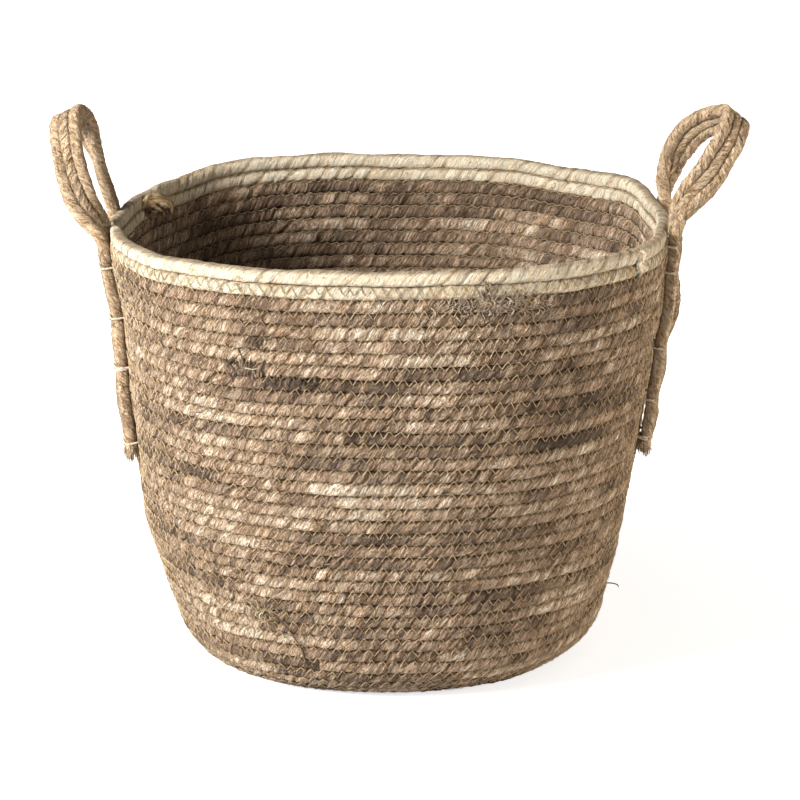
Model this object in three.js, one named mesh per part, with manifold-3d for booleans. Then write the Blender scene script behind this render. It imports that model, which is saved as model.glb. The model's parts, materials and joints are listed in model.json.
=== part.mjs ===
// A round storage basket, coiled from one thick twisted leaf rope and standing on its floor.
// The rope runs as a flat spiral from the middle of the floor, turns up round a soft corner and climbs
// the wall; its last two turns are pale. Two carrying loops, each a flat strap of three jute ropes, are
// tied to the outside of the wall with twine and swing where they leave their topmost ties.
// Units are millimetres, +Z is up, +X and -X are the two carrying loops, and the origin is the middle
// of the underside.

import * as THREE from "three";
import { mergeVertices } from "three/addons/utils/BufferGeometryUtils.js";
import Module from "manifold-3d";

const wasm = await Module();
wasm.setup();

// Driving dimensions: the coiled body
const bodyRopeThickness = 8.9;
const rowGap = 0.5;
const floorTurns = 12;
const cornerRadius = 41.6;
const wallLeanAtFoot = THREE.MathUtils.degToRad(14.1);
const wallLeanAtRim = THREE.MathUtils.degToRad(2.1);
const rimSquareness = 2.5;
const startTurns = 0.5;
const stepsPerTurn = 14;

// Driving dimensions: where one length of rope is spliced to the next, in turns from the middle
const floorEndTurns = 13;
const footLowEndTurns = 17.3;
const footEndTurns = 21.3;
const wallEndTurns = 40.3;
const collarEndTurns = 46.5;
const rimEndTurns = 48.5;

// Driving dimensions: the carrying loops
const juteThickness = 8;
const juteGap = 0.35;
const restGap = 0.35;
const leftLoopHeight = 91;
const leftLoopOverhang = 21.5;
const rightLoopHeight = 70;
const rightLoopOverhang = 47;
const leftWidthTilt = THREE.MathUtils.degToRad(5);
const rightWidthTilt = THREE.MathUtils.degToRad(40);
const hingeAboveTie = 10.5;
const hingeClearance = 0.8;
const legTail = 12;
const legSides = 8;
const legSteps = 9;
const loopSteps = 22;

// Driving dimensions: the twine ties
const twineThickness = 1.8;
const twineGap = 0.35;
const twineSides = 5;
const notchOpening = THREE.MathUtils.degToRad(74);
const knotSwellShare = 2.1;

// Counted rows below the rim whose lower edge each tie passes under, per leg
const leftFrontTieRows = [3, 7, 11, 17];
const leftBackTieRows = [2, 6, 10, 16];
const rightTieRows = [1, 3, 9, 13, 16];

// Colours
const brownLeaf = new THREE.MeshStandardMaterial({ color: 0x8a7058, roughness: 0.92, metalness: 0 });
const paleLeaf = new THREE.MeshStandardMaterial({ color: 0xd8c79f, roughness: 0.85, metalness: 0 });
const jute = new THREE.MeshStandardMaterial({ color: 0xb08a5c, roughness: 0.95, metalness: 0 });
const twine = new THREE.MeshStandardMaterial({ color: 0xdccdb0, roughness: 0.9, metalness: 0 });

// Sizes worked out from the driving dimensions
const pitch = bodyRopeThickness + rowGap;
const halfRope = bodyRopeThickness / 2;
const halfWall = pitch / 2;
const flatCutShare = 0.1;
const floorHeight = halfRope - bodyRopeThickness * flatCutShare;
const floorRadius = floorTurns * pitch;
const cornerAngle = Math.PI / 2 - wallLeanAtFoot;
const cornerLength = cornerAngle * cornerRadius;
const totalLength = rimEndTurns * pitch;
const wallLength = totalLength - floorRadius - cornerLength;
const lastStep = rimEndTurns * stepsPerTurn;
const fullTurn = 2 * Math.PI;
const halfShare = 0.5;
const juteRadius = juteThickness / 2;
const jutePitch = juteThickness + juteGap;
const strapHalfWidth = jutePitch + juteRadius;
const twineRadius = twineThickness / 2;

// The middle line of the wall as seen in section, by length along it from the middle of the floor:
// a flat floor, a round corner, and a wall that leans out less and less towards the rim.
function sectionPoint(length) {
  if (length <= floorRadius) {
    return { r: length, z: floorHeight, angle: 0 };
  }
  const onCorner = Math.min(length - floorRadius, cornerLength);
  const turned = onCorner / cornerRadius;
  const r = floorRadius + cornerRadius * Math.sin(turned);
  const z = floorHeight + cornerRadius * (1 - Math.cos(turned));
  if (length <= floorRadius + cornerLength) {
    return { r, z, angle: turned };
  }
  const onWall = length - floorRadius - cornerLength;
  const leanRate = (wallLeanAtFoot - wallLeanAtRim) / wallLength;
  const lean = wallLeanAtFoot - leanRate * onWall;
  const run = (Math.cos(lean) - Math.cos(wallLeanAtFoot)) / leanRate;
  const rise = (Math.sin(wallLeanAtFoot) - Math.sin(lean)) / leanRate;
  return { r: r + run, z: z + rise, angle: Math.PI / 2 - lean };
}

// The plan of the basket is round at the floor and a little squared at the rim.
function planReach(azimuth, length) {
  const squareness = 2 + (rimSquareness - 2) * Math.min(length / totalLength, 1);
  const c = Math.abs(Math.cos(azimuth)) ** squareness;
  const s = Math.abs(Math.sin(azimuth)) ** squareness;
  return (c + s) ** (-1 / squareness);
}

// A point on the body: length along the section, distance out of the wall's middle line, azimuth.
function bodyPoint(length, outward, azimuth) {
  const p = sectionPoint(length);
  const r = (p.r + outward * Math.sin(p.angle)) * planReach(azimuth, length);
  const z = p.z - outward * Math.cos(p.angle);
  return new THREE.Vector3(r * Math.cos(azimuth), r * Math.sin(azimuth), Math.max(z, 0));
}

// The rope goes round by whole steps and ends at the left, at azimuth pi.
function azimuthOfStep(step) {
  return Math.PI + ((lastStep - step) * fullTurn) / stepsPerTurn;
}

// A point between two neighbouring steps lies on the straight facet between them.
function facetPoint(step, along, outward) {
  const before = Math.floor(step);
  const share = step - before;
  const from = bodyPoint(along(before), outward, azimuthOfStep(before));
  const to = bodyPoint(along(before + 1), outward, azimuthOfStep(before + 1));
  return from.lerp(to, share);
}

// An end is closed by strips that run across the strap, so that it can be rounded about the hinge;
// an outline whose sides don't pair up that way is closed by a fan.
function endTriangles(sides) {
  const triangles = [];
  if (sides % 4 !== 0) {
    for (let j = 1; j < sides - 1; j += 1) {
      triangles.push([0, j, j + 1]);
    }
    return triangles;
  }
  const half = sides / 2;
  for (let i = 0; i < half - 1; i += 1) {
    const a = (half / 2 - 1 - i + sides) % sides;
    const b = (half - 1 - a + sides) % sides;
    const c = (b + 1) % sides;
    const d = (a - 1 + sides) % sides;
    triangles.push([a, b, c], [a, c, d]);
  }
  return triangles;
}

// Rings of points joined into one closed tube, with its ends closed unless it runs into itself.
function tube(rings, joined) {
  const sides = rings[0].length;
  const positions = rings.flat().flatMap((p) => [p.x, p.y, p.z]);
  const indices = [];
  const links = joined ? rings.length : rings.length - 1;
  for (let i = 0; i < links; i += 1) {
    const next = (i + 1) % rings.length;
    for (let j = 0; j < sides; j += 1) {
      const k = (j + 1) % sides;
      const a = i * sides + j;
      const b = i * sides + k;
      const c = next * sides + k;
      const d = next * sides + j;
      indices.push(a, b, c, a, c, d);
    }
  }
  if (!joined) {
    const last = (rings.length - 1) * sides;
    for (const [a, b, c] of endTriangles(sides)) {
      indices.push(a, c, b);
      indices.push(last + a, last + b, last + c);
    }
  }
  return facingOut(positions, indices);
}

function facingOut(positions, indices) {
  const geometry = new THREE.BufferGeometry();
  geometry.setAttribute("position", new THREE.Float32BufferAttribute(positions, 3));
  const a = new THREE.Vector3();
  const b = new THREE.Vector3();
  const c = new THREE.Vector3();
  let volume = 0;
  for (let i = 0; i < indices.length; i += 3) {
    a.fromArray(positions, indices[i] * 3);
    b.fromArray(positions, indices[i + 1] * 3);
    c.fromArray(positions, indices[i + 2] * 3);
    volume += a.dot(b.cross(c));
  }
  geometry.setIndex(volume < 0 ? indices.slice().reverse() : indices);
  geometry.computeVertexNormals();
  return geometry;
}

// Solids for cutting and joining
function solidOf(geometry) {
  const bare = geometry.clone();
  bare.deleteAttribute("normal");
  bare.deleteAttribute("uv");
  const merged = mergeVertices(bare);
  const vertProperties = new Float32Array(merged.attributes.position.array);
  const triVerts = new Uint32Array(merged.index.array);
  return new wasm.Manifold(new wasm.Mesh({ numProp: 3, vertProperties, triVerts }));
}

function geometryOf(solid) {
  const mesh = solid.getMesh();
  const geometry = new THREE.BufferGeometry();
  geometry.setAttribute("position", new THREE.BufferAttribute(new Float32Array(mesh.vertProperties), 3));
  geometry.setIndex(new THREE.BufferAttribute(new Uint32Array(mesh.triVerts), 1));
  geometry.computeVertexNormals();
  return geometry;
}

const basket = new THREE.Group();

function addPiece(name, geometry, material) {
  const mesh = new THREE.Mesh(geometry, material);
  mesh.name = name;
  basket.add(mesh);
}

// The body rope's outline, as shares of half its thickness: up the section and out of the wall.
// On the wall its flats face the turns above and below; on the floor it has a flat underside.
const wallOutlineShares = [[1, 0.55], [0, 1], [-1, 0.55], [-1, -0.55], [0, -1], [1, -0.55]];
const floorOutlineShares = [[0.45, 1], [-0.45, 1], [-1, 0.1], [0, -1], [1, 0.1]];
const rimTaperShares = [0.35, 0.8];

function outlineOf(shares) {
  return shares.map(([up, out]) => [up * halfRope, out * halfWall]);
}

// One ring of the coil at a step; a taper below 1 sinks the rope's end onto the turn beneath it.
function coilRing(step, outline, taper) {
  return outline.map(([up, out]) => {
    const sunk = (up + halfRope) * taper - halfRope;
    return facetPoint(step, (s) => (s / stepsPerTurn) * pitch + sunk, out * taper);
  });
}

// One unbroken length of the body rope, from one turn count to another. Where it is spliced to the
// next length, each keeps half a row gap from the other.
function coil(fromTurns, toTurns, outline, endsTapered) {
  const first = fromTurns * stepsPerTurn;
  const last = toTurns * stepsPerTurn;
  const stepLength = (sectionPoint(toTurns * pitch).r * fullTurn) / stepsPerTurn;
  const spliceShare = rowGap / 2 / stepLength;
  const steps = [fromTurns === startTurns ? first : first + spliceShare];
  for (let i = Math.floor(first) + 1; i < last; i += 1) {
    steps.push(i);
  }
  steps.push(last - spliceShare);
  return steps.map((step, i) => {
    const fromEnd = steps.length - 1 - i;
    const taper = endsTapered && fromEnd < rimTaperShares.length ? rimTaperShares[fromEnd] : 1;
    return coilRing(step, outline, taper);
  });
}

// The least gap between neighbouring turns of one length, measured between their outlines' points.
function leastGap(rings) {
  const thick = rings.map((ring) => ring.flatMap((p, j) => {
    const q = ring[(j + 1) % ring.length];
    return [p, p.clone().lerp(q, halfShare)];
  }));
  let least = Infinity;
  for (let i = 0; i < thick.length; i += 1) {
    for (let k = i + halfTurnSteps; k < Math.min(i + 3 * halfTurnSteps, thick.length); k += 1) {
      for (const p of thick[i]) {
        for (const q of thick[k]) {
          least = Math.min(least, p.distanceTo(q));
        }
      }
    }
  }
  return least;
}

// Where the four legs of the two straps lie: the middle of the facet on each side of the left and
// right extremes, given in steps back from the rope's end.
const halfTurnSteps = stepsPerTurn / 2;
const legs = [
  { name: "left_front", side: -1, front: -1, stepsBack: halfShare, tieRows: leftFrontTieRows },
  { name: "left_back", side: -1, front: 1, stepsBack: stepsPerTurn - halfShare, tieRows: leftBackTieRows },
  { name: "right_front", side: 1, front: -1, stepsBack: halfTurnSteps - halfShare, tieRows: rightTieRows },
  { name: "right_back", side: 1, front: 1, stepsBack: halfTurnSteps + halfShare, tieRows: rightTieRows },
];

// The length along the section of the gap under a counted row at a leg.
function gapLength(leg, row) {
  return pitch * ((lastStep - leg.stepsBack) / stepsPerTurn - row + halfShare);
}

// A point beside the wall at a leg: length along the section, distance across the strap away from
// the middle between the pair of legs, and distance out of the wall's middle line.
function legPoint(leg, length, across, outward) {
  const middle = lastStep - leg.stepsBack;
  const low = facetPoint(Math.floor(middle), () => length, outward);
  const high = facetPoint(Math.floor(middle) + 1, () => length, outward);
  const centre = low.clone().lerp(high, halfShare);
  const direction = high.clone().sub(low).normalize();
  if (direction.y * leg.front < 0) {
    direction.negate();
  }
  return centre.addScaledVector(direction, across);
}

// The hinge of each strap: a line along Y at the outer face of its ropes, just above its top ties.
const wallToJute = halfWall + restGap;
const legMiddleOut = wallToJute + juteRadius;

function hingeOf(side) {
  const pair = legs.filter((leg) => leg.side === side);
  const lengths = pair.map((leg) => gapLength(leg, leg.tieRows[0]) + hingeAboveTie);
  const length = (lengths[0] + lengths[1]) / 2;
  const inner = pair.map((leg) => Math.abs(legPoint(leg, length, -strapHalfWidth, halfWall).x));
  const reach = Math.max(...inner) + restGap + juteThickness;
  const heights = pair.map((leg) => legPoint(leg, length, 0, legMiddleOut).z);
  const spread = pair.map((leg) => Math.abs(legPoint(leg, length, 0, legMiddleOut).y));
  return {
    side,
    length,
    x: side * reach,
    z: (heights[0] + heights[1]) / 2,
    halfSpread: (spread[0] + spread[1]) / 2,
  };
}

const leftHinge = hingeOf(-1);
const rightHinge = hingeOf(1);

// The end of a rope at the hinge is rounded about the hinge line.
function roundAboutHinge(point, hinge, radius) {
  const away = point.x - hinge.x;
  const drop = Math.sqrt(Math.max(radius * radius - away * away, 0));
  return new THREE.Vector3(point.x, point.y, hinge.z - drop);
}

// A jute rope's round section about a middle point, thickened by a share where it is frayed.
function roundRing(middle, wide, thick, thickShare) {
  return Array.from({ length: legSides }, (_, j) => {
    const turn = ((j + halfShare) * fullTurn) / legSides;
    const a = Math.cos(turn) * juteRadius;
    const b = Math.sin(turn) * juteRadius * thickShare;
    return middle.clone().addScaledVector(wide, a).addScaledVector(thick, b);
  });
}

// The legs: three jute ropes side by side on the wall, from their frayed ends up to the hinge.
const frayLength = 8;
const fraySpread = 1.6;
const frayThickShare = 1.35;
const ropeNames = ["outer", "middle", "inner"];
const ropePlaces = [1, 0, -1];

function legRope(leg, hinge, place) {
  const bottom = gapLength(leg, leg.tieRows[leg.tieRows.length - 1]) - legTail;
  const sound = bottom + frayLength;
  const rings = [];
  for (let i = -1; i <= legSteps; i += 1) {
    const length = i < 0 ? bottom : sound + (hinge.length - sound) * (i / legSteps);
    const fray = i < 0 ? 1 : 0;
    const across = place * (jutePitch + fraySpread * fray);
    const lift = juteRadius * (frayThickShare - 1) * fray;
    const middle = legPoint(leg, length, across, legMiddleOut + lift);
    const outer = legPoint(leg, length, across, legMiddleOut + lift + juteRadius);
    const beside = legPoint(leg, length, across + juteRadius, legMiddleOut + lift);
    const thick = outer.sub(middle).normalize();
    const wide = beside.sub(middle).normalize();
    const ring = roundRing(middle, wide, thick, 1 + (frayThickShare - 1) * fray);
    const atHinge = i === legSteps;
    const radius = juteThickness + hingeClearance;
    rings.push(atHinge ? ring.map((p) => roundAboutHinge(p, hinge, radius)) : ring);
  }
  return tube(rings, false);
}

// The loops: each route goes up the front leg, over the top and down the back leg. A point is a
// share of the overhang, a share of the half spread of the legs and a share of the height; the last
// number is how far the strap has twisted from lying along the rim to standing across it.
const leftRouteShares = [
  [0, -1, 0, 0],
  [0.1, -1, 0.05, 0.04],
  [0.36, -1, 0.13, 0.2],
  [0.58, -0.98, 0.22, 0.42],
  [0.76, -0.93, 0.37, 0.72],
  [0.95, -0.83, 0.53, 0.9],
  [1.12, -0.7, 0.67, 1],
  [1.19, -0.53, 0.81, 1],
  [1.14, -0.32, 0.93, 1],
  [1.03, 0, 1, 1],
  [0.9, 0.32, 0.93, 0.85],
  [0.74, 0.53, 0.81, 0.6],
  [0.6, 0.7, 0.67, 0.32],
  [0.45, 0.83, 0.53, 0.14],
  [0.3, 0.93, 0.37, 0.05],
  [0.14, 0.99, 0.22, 0],
  [0.03, 1, 0.1, 0],
  [0, 1, 0, 0],
];
const rightRouteShares = [
  [0, -1, 0, 0],
  [0.12, -1, 0.05, 0.06],
  [0.25, -0.99, 0.14, 0.2],
  [0.34, -0.97, 0.25, 0.4],
  [0.44, -0.92, 0.38, 0.66],
  [0.57, -0.83, 0.53, 0.88],
  [0.7, -0.71, 0.67, 1],
  [0.85, -0.55, 0.8, 1],
  [0.96, -0.32, 0.93, 1],
  [1, 0, 1, 1],
  [0.79, 0.32, 0.95, 1],
  [0.58, 0.54, 0.86, 1],
  [0.4, 0.7, 0.75, 0.95],
  [0.25, 0.82, 0.62, 0.8],
  [0.12, 0.91, 0.48, 0.55],
  [0.05, 0.96, 0.33, 0.28],
  [0.01, 0.99, 0.2, 0.1],
  [0, 1, 0.08, 0.02],
  [0, 1, 0, 0],
];

function smoothValue(values, share) {
  const curve = new THREE.CatmullRomCurve3(values.map((v, i) => new THREE.Vector3(i, v, 0)));
  return curve.getPoint(share).y;
}

function loopRope(hinge, shares, height, overhang, widthTilt, place) {
  const middleX = hinge.x - hinge.side * juteRadius;
  const points = shares.map(([out, across, up]) => new THREE.Vector3(
    middleX + hinge.side * out * overhang,
    across * hinge.halfSpread,
    hinge.z + up * height,
  ));
  const route = new THREE.CatmullRomCurve3(points, false, "centripetal");
  const twists = shares.map((row) => row[3]);
  const rings = [];
  for (let i = 0; i <= loopSteps; i += 1) {
    const share = i / loopSteps;
    const t = route.getUtoTmapping(share);
    const middle = route.getPoint(t);
    const tangent = route.getTangent(t);
    const twist = THREE.MathUtils.clamp(smoothValue(twists, t), 0, 1) * (Math.PI / 2);
    const backward = i * 2 < loopSteps ? -1 : 1;
    const wide = new THREE.Vector3(
      hinge.side * Math.sin(twist) * Math.cos(widthTilt),
      backward * Math.cos(twist),
      -Math.sin(twist) * Math.sin(widthTilt),
    );
    const atEnd = i === 0 || i === loopSteps;
    if (atEnd) {
      tangent.set(0, 0, -backward);
    }
    wide.addScaledVector(tangent, -wide.dot(tangent)).normalize();
    const thick = new THREE.Vector3().crossVectors(tangent, wide);
    middle.addScaledVector(wide, place * jutePitch);
    const ring = roundRing(middle, wide, thick, 1);
    rings.push(atEnd ? ring.map((p) => roundAboutHinge(p, hinge, juteThickness)) : ring);
  }
  return tube(rings, false);
}

// The ties: a ring of twine round the strap and through the wall, with a knot on its outer side.
const twineReach = twineRadius + twineGap;
const tieHalfWidth = strapHalfWidth + twineReach;
const tieCornerShare = 0.6;
const tieCornerCutShare = 0.3;

function tieGeometry(leg, row) {
  const length = gapLength(leg, row) - twineReach;
  const outside = wallToJute + juteThickness + twineReach;
  const inside = -halfWall - twineReach;
  const corner = juteRadius * tieCornerShare;
  const cut = corner * tieCornerCutShare;
  const corners = [[1, inside], [1, outside], [-1, outside], [-1, inside]];
  const path = corners.flatMap(([sideways, out]) => {
    const along = Math.sign(out);
    const onSide = [sideways * tieHalfWidth, out - along * corner];
    const onCorner = [sideways * (tieHalfWidth - cut), out - along * cut];
    const onFace = [sideways * (tieHalfWidth - corner), out];
    return sideways * along < 0 ? [onFace, onCorner, onSide] : [onSide, onCorner, onFace];
  });
  const knotAt = path.length / 2;
  path.splice(knotAt, 0, [0, outside]);
  const rings = path.map(([a, o], i) => {
    const before = path[(i + path.length - 1) % path.length];
    const after = path[(i + 1) % path.length];
    const tangent = new THREE.Vector2(after[0] - before[0], after[1] - before[1]).normalize();
    const radius = twineRadius * (i === knotAt ? knotSwellShare : 1);
    const lift = i === knotAt ? radius - twineRadius : 0;
    return Array.from({ length: twineSides }, (_, j) => {
      const turn = (j * fullTurn) / twineSides;
      const sideways = Math.cos(turn) * radius;
      const upward = Math.sin(turn) * radius;
      const across = a + tangent.y * sideways;
      const outward = o + lift - tangent.x * sideways;
      return legPoint(leg, length + upward, across, outward);
    });
  });
  return tube(rings, true);
}

// The twine's way through the wall: a notch pressed into the top of the row beneath the gap, whose
// sloping sides keep clear of the twine.
const notchDepth = twineReach + twineReach / Math.sin(notchOpening / 2);
const notchHalfWidth = notchDepth * Math.tan(notchOpening / 2);
const cutOverrun = 4;

function notchSolid(leg, row, side) {
  const top = gapLength(leg, row);
  const middle = side * tieHalfWidth;
  const outline = [[-notchHalfWidth, 0], [notchHalfWidth, 0], [0, -notchDepth]];
  const rings = [-halfWall - cutOverrun, halfWall + cutOverrun].map((outward) => outline.map(
    ([across, up]) => legPoint(leg, top + up, middle + across, outward),
  ));
  return solidOf(tube(rings, false));
}

const notches = legs.flatMap((leg) => leg.tieRows.flatMap((row) => [
  notchSolid(leg, row, -1),
  notchSolid(leg, row, 1),
]));

function withNotches(rope) {
  return notches.reduce((solid, notch) => solid.subtract(notch), rope);
}

// The rope's very start is curled tight, which closes the middle of the floor.
const startSides = 8;
const startRiseShare = 0.4;

function startCurl() {
  const height = floorHeight + halfWall * startRiseShare;
  const curl = new THREE.CylinderGeometry(halfRope, halfRope, height, startSides);
  curl.rotateX(Math.PI / 2);
  curl.translate(0, 0, height / 2);
  return solidOf(curl);
}

const wallOutline = outlineOf(wallOutlineShares);
const floorOutline = outlineOf(floorOutlineShares);
const lengths = [
  { name: "coil_floor", from: startTurns, to: floorEndTurns, outline: floorOutline, material: brownLeaf },
  { name: "coil_foot_low", from: floorEndTurns, to: footLowEndTurns, outline: wallOutline, material: brownLeaf },
  { name: "coil_foot_high", from: footLowEndTurns, to: footEndTurns, outline: wallOutline, material: brownLeaf },
  { name: "coil_wall", from: footEndTurns, to: wallEndTurns, outline: wallOutline, material: brownLeaf },
  { name: "coil_collar", from: wallEndTurns, to: collarEndTurns, outline: wallOutline, material: brownLeaf },
  { name: "coil_rim", from: collarEndTurns, to: rimEndTurns, outline: wallOutline, material: paleLeaf },
];

for (const { name, from, to, outline, material } of lengths) {
  const rings = coil(from, to, outline, name === "coil_rim");
  console.log(`${name}: least gap between its turns ${leastGap(rings).toFixed(2)} mm`);
  const rope = solidOf(tube(rings, false));
  const whole = name === "coil_floor" ? rope.add(startCurl()) : rope;
  addPiece(name, geometryOf(withNotches(whole)), material);
}

for (const leg of legs) {
  const hinge = leg.side < 0 ? leftHinge : rightHinge;
  ropePlaces.forEach((place, i) => {
    addPiece(`strap_${leg.name}_${ropeNames[i]}`, legRope(leg, hinge, place), jute);
  });
  leg.tieRows.forEach((row, i) => {
    addPiece(`tie_${leg.name}_${i + 1}`, tieGeometry(leg, row), twine);
  });
}

ropePlaces.forEach((place, i) => {
  const left = loopRope(
    leftHinge, leftRouteShares, leftLoopHeight, leftLoopOverhang, leftWidthTilt, place,
  );
  addPiece(`loop_left_${ropeNames[i]}`, left, jute);
  const right = loopRope(
    rightHinge, rightRouteShares, rightLoopHeight, rightLoopOverhang, rightWidthTilt, place,
  );
  addPiece(`loop_right_${ropeNames[i]}`, right, jute);
});

export default basket;
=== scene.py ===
"""Looks of a round basket coiled from one thick leaf rope, with two jute carrying loops.

Lengths are metres, +Z is up, and the loops are at -X and +X. A place on the basket is given by the
length along the wall's section from the middle of the floor, the distance out of the wall's middle
line, and the azimuth, as on the frame.
"""

import json
import math

import bpy
import numpy as np
from bpy.props import FloatProperty, FloatVectorProperty, IntProperty, PointerProperty
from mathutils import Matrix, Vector


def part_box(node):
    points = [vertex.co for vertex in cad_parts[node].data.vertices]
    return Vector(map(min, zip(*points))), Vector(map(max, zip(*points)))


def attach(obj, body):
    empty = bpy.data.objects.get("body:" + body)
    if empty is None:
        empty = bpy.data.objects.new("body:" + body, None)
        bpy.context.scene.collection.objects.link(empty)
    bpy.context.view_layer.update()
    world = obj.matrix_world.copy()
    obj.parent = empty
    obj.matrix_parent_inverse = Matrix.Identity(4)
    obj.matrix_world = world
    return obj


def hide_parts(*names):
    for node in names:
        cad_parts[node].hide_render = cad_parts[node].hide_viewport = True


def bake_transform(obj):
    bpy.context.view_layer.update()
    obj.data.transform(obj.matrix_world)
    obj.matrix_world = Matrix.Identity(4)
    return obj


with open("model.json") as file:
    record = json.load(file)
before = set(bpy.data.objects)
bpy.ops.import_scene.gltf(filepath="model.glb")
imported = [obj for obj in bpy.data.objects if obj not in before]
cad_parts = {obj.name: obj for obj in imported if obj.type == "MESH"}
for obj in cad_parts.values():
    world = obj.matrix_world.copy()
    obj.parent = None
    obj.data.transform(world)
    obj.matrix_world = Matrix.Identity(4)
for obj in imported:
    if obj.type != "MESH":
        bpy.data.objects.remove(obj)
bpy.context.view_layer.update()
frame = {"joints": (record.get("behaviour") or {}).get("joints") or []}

bl_info = {
    "name": "Coiled rope basket",
    "version": (1, 0, 0),
    "blender": (4, 5, 0),
    "location": "3D View > Sidebar > Basket",
    "description": "Dresses the frame of a coiled basket with leaf rope, sewing thread and jute loops",
    "category": "Add Mesh",
}

TAU = 2 * math.pi
MM = 0.001
JOINTS = {joint["name"]: joint for joint in frame["joints"]}
PLACES = {"outer": 1, "middle": 0, "inner": -1}

# The power of the superellipse that is the body rope's section: 2 is round, more is squarer.
ROPE_POWER = 2.7

# Straight steps of the solids' rope in one turn. Each leg of a loop lies half a step from the left or
# right extreme.
TURN_STEPS = 14

# Seeds of the slow waves that move the wall out and up.
WAVES_OUT = 5
WAVES_UP = 11

# How far this basket strays from its plain shape: sideways and wider by height, and up at the rim by
# azimuth. Each row is a place, in millimetres or degrees, and a distance in millimetres.
SWAY_MM = (
    (0, -1.5), (12, 0), (27, 2), (43, 1.3), (74, 0.6), (105, -1.5), (129, -0.8), (200, 0.5), (256, 2.3),
    (314, 0.8),
)
SWELL_MM = ((0, 0), (43, 0.6), (74, 1.2), (105, 2), (129, 2), (200, 0.5), (256, 0))
RISE_MM = (
    (0, 0), (12, 1.5), (20, 5), (30, 7), (40, 4), (50, 3.5), (60, 6.7), (70, 7.5), (90, 7.2), (100, 9.4),
    (120, 9.4), (130, 7.3), (140, 1.3), (150, -0.4), (160, -0.8), (180, -1), (205, -1), (222, -2.6),
    (240, -1.2), (255, 0.3), (285, 0.4), (315, 1), (340, 0.5),
)


def colour_property(name, description, default):
    """A colour that the sidebar can change, as three linear shares."""
    return FloatVectorProperty(
        name=name, description=description, default=default, subtype="COLOR", size=3, min=0, max=1
    )


def length_property(name, description, default):
    """A length in metres that the sidebar can change."""
    return FloatProperty(
        name=name, description=description, default=default, unit="LENGTH", subtype="DISTANCE",
        min=0, precision=5,
    )


class BasketBody(bpy.types.PropertyGroup):
    """Sizes of the coiled body."""

    row_pitch: length_property("Row pitch", "From one turn of the rope to the next", 9.4 * MM)
    rope_height: length_property("Rope height", "Half the rope's height, along the wall", 4.85 * MM)
    rope_width: length_property("Rope width", "Half the rope's width, through the wall", 4.6 * MM)
    rest_height: length_property("Rest height", "Height of the rope's middle on the floor", 3.56 * MM)
    corner_radius: length_property("Corner radius", "Of the bend from floor to wall", 41.6 * MM)
    floor_turns: FloatProperty(name="Floor turns", description="Turns that lie flat", default=12)
    first_turn: FloatProperty(name="First turn", description="Where the rope starts", default=0.35)
    pale_turn: FloatProperty(name="Pale turn", description="Where the pale rope starts", default=46.5)
    rim_turn: FloatProperty(name="Rim turn", description="Where the rope ends", default=48.5)
    lean_at_foot: FloatProperty(
        name="Lean at foot", description="Of the wall, from upright", subtype="ANGLE",
        default=math.radians(14.1),
    )
    lean_at_rim: FloatProperty(
        name="Lean at rim", description="Of the wall, from upright", subtype="ANGLE",
        default=math.radians(2.1),
    )
    rim_squareness: FloatProperty(
        name="Rim squareness", description="2 is a round plan, more is squarer", default=2.5
    )
    lay_length: length_property("Lay length", "Of one full twist of the leaf rope", 24 * MM)
    waviness: length_property("Waviness", "How far the wall strays from its plain shape", 1.1 * MM)
    rim_flare: length_property("Rim flare", "How far the rim stands out at the left and right", 3.8 * MM)
    rope_sides: IntProperty(name="Rope sides", description="Faces round the rope", default=20)
    rope_step: length_property("Rope step", "From one ring of faces to the next", 2 * MM)


class BasketThread(bpy.types.PropertyGroup):
    """Sizes of the sewing thread."""

    stitch_length: length_property("Stitch length", "From one point of the zigzag to the next", 7.4 * MM)
    stitch_height: length_property("Stitch height", "How far the zigzag spans the seam", 5.4 * MM)
    radius: length_property("Thread radius", "Half the thread's thickness", 0.29 * MM)


class BasketHandles(bpy.types.PropertyGroup):
    """Sizes of the two carrying loops."""

    rope_radius: length_property("Rope radius", "Half a jute rope's thickness", 4.2 * MM)
    rope_pitch: length_property("Rope pitch", "From one jute rope to the next", 7.4 * MM)
    lay_length: length_property("Lay length", "Of one full twist of a jute rope", 25 * MM)
    left_height: length_property("Left height", "Of the left loop above its bend", 88 * MM)
    left_lean: length_property("Left lean", "Of the left loop's top, outwards", 21.5 * MM)
    right_height: length_property("Right height", "Of the right loop above its bend", 70 * MM)
    right_lean: length_property("Right lean", "Of the right loop's top, outwards", 47 * MM)
    outset: length_property("Outset", "How far the loops stand out of their bend", 3 * MM)
    left_tilt: FloatProperty(
        name="Left tilt", description="Slope of the strap across the left top", subtype="ANGLE",
        default=math.radians(27),
    )
    right_tilt: FloatProperty(
        name="Right tilt", description="Slope of the strap across the right top", subtype="ANGLE",
        default=math.radians(40),
    )
    twine_radius: length_property("Twine radius", "Half the thickness of the twine ties", 0.95 * MM)
    tail: length_property("Tail", "Of the ropes below their lowest tie", 12 * MM)
    loose_hairs: IntProperty(name="Loose hairs", description="That stand off each rope", default=120)
    matted_hairs: IntProperty(name="Matted hairs", description="That lie on each rope", default=1000)
    tail_fibres: IntProperty(name="Tail fibres", description="In the frayed end of each leg", default=210)


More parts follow.
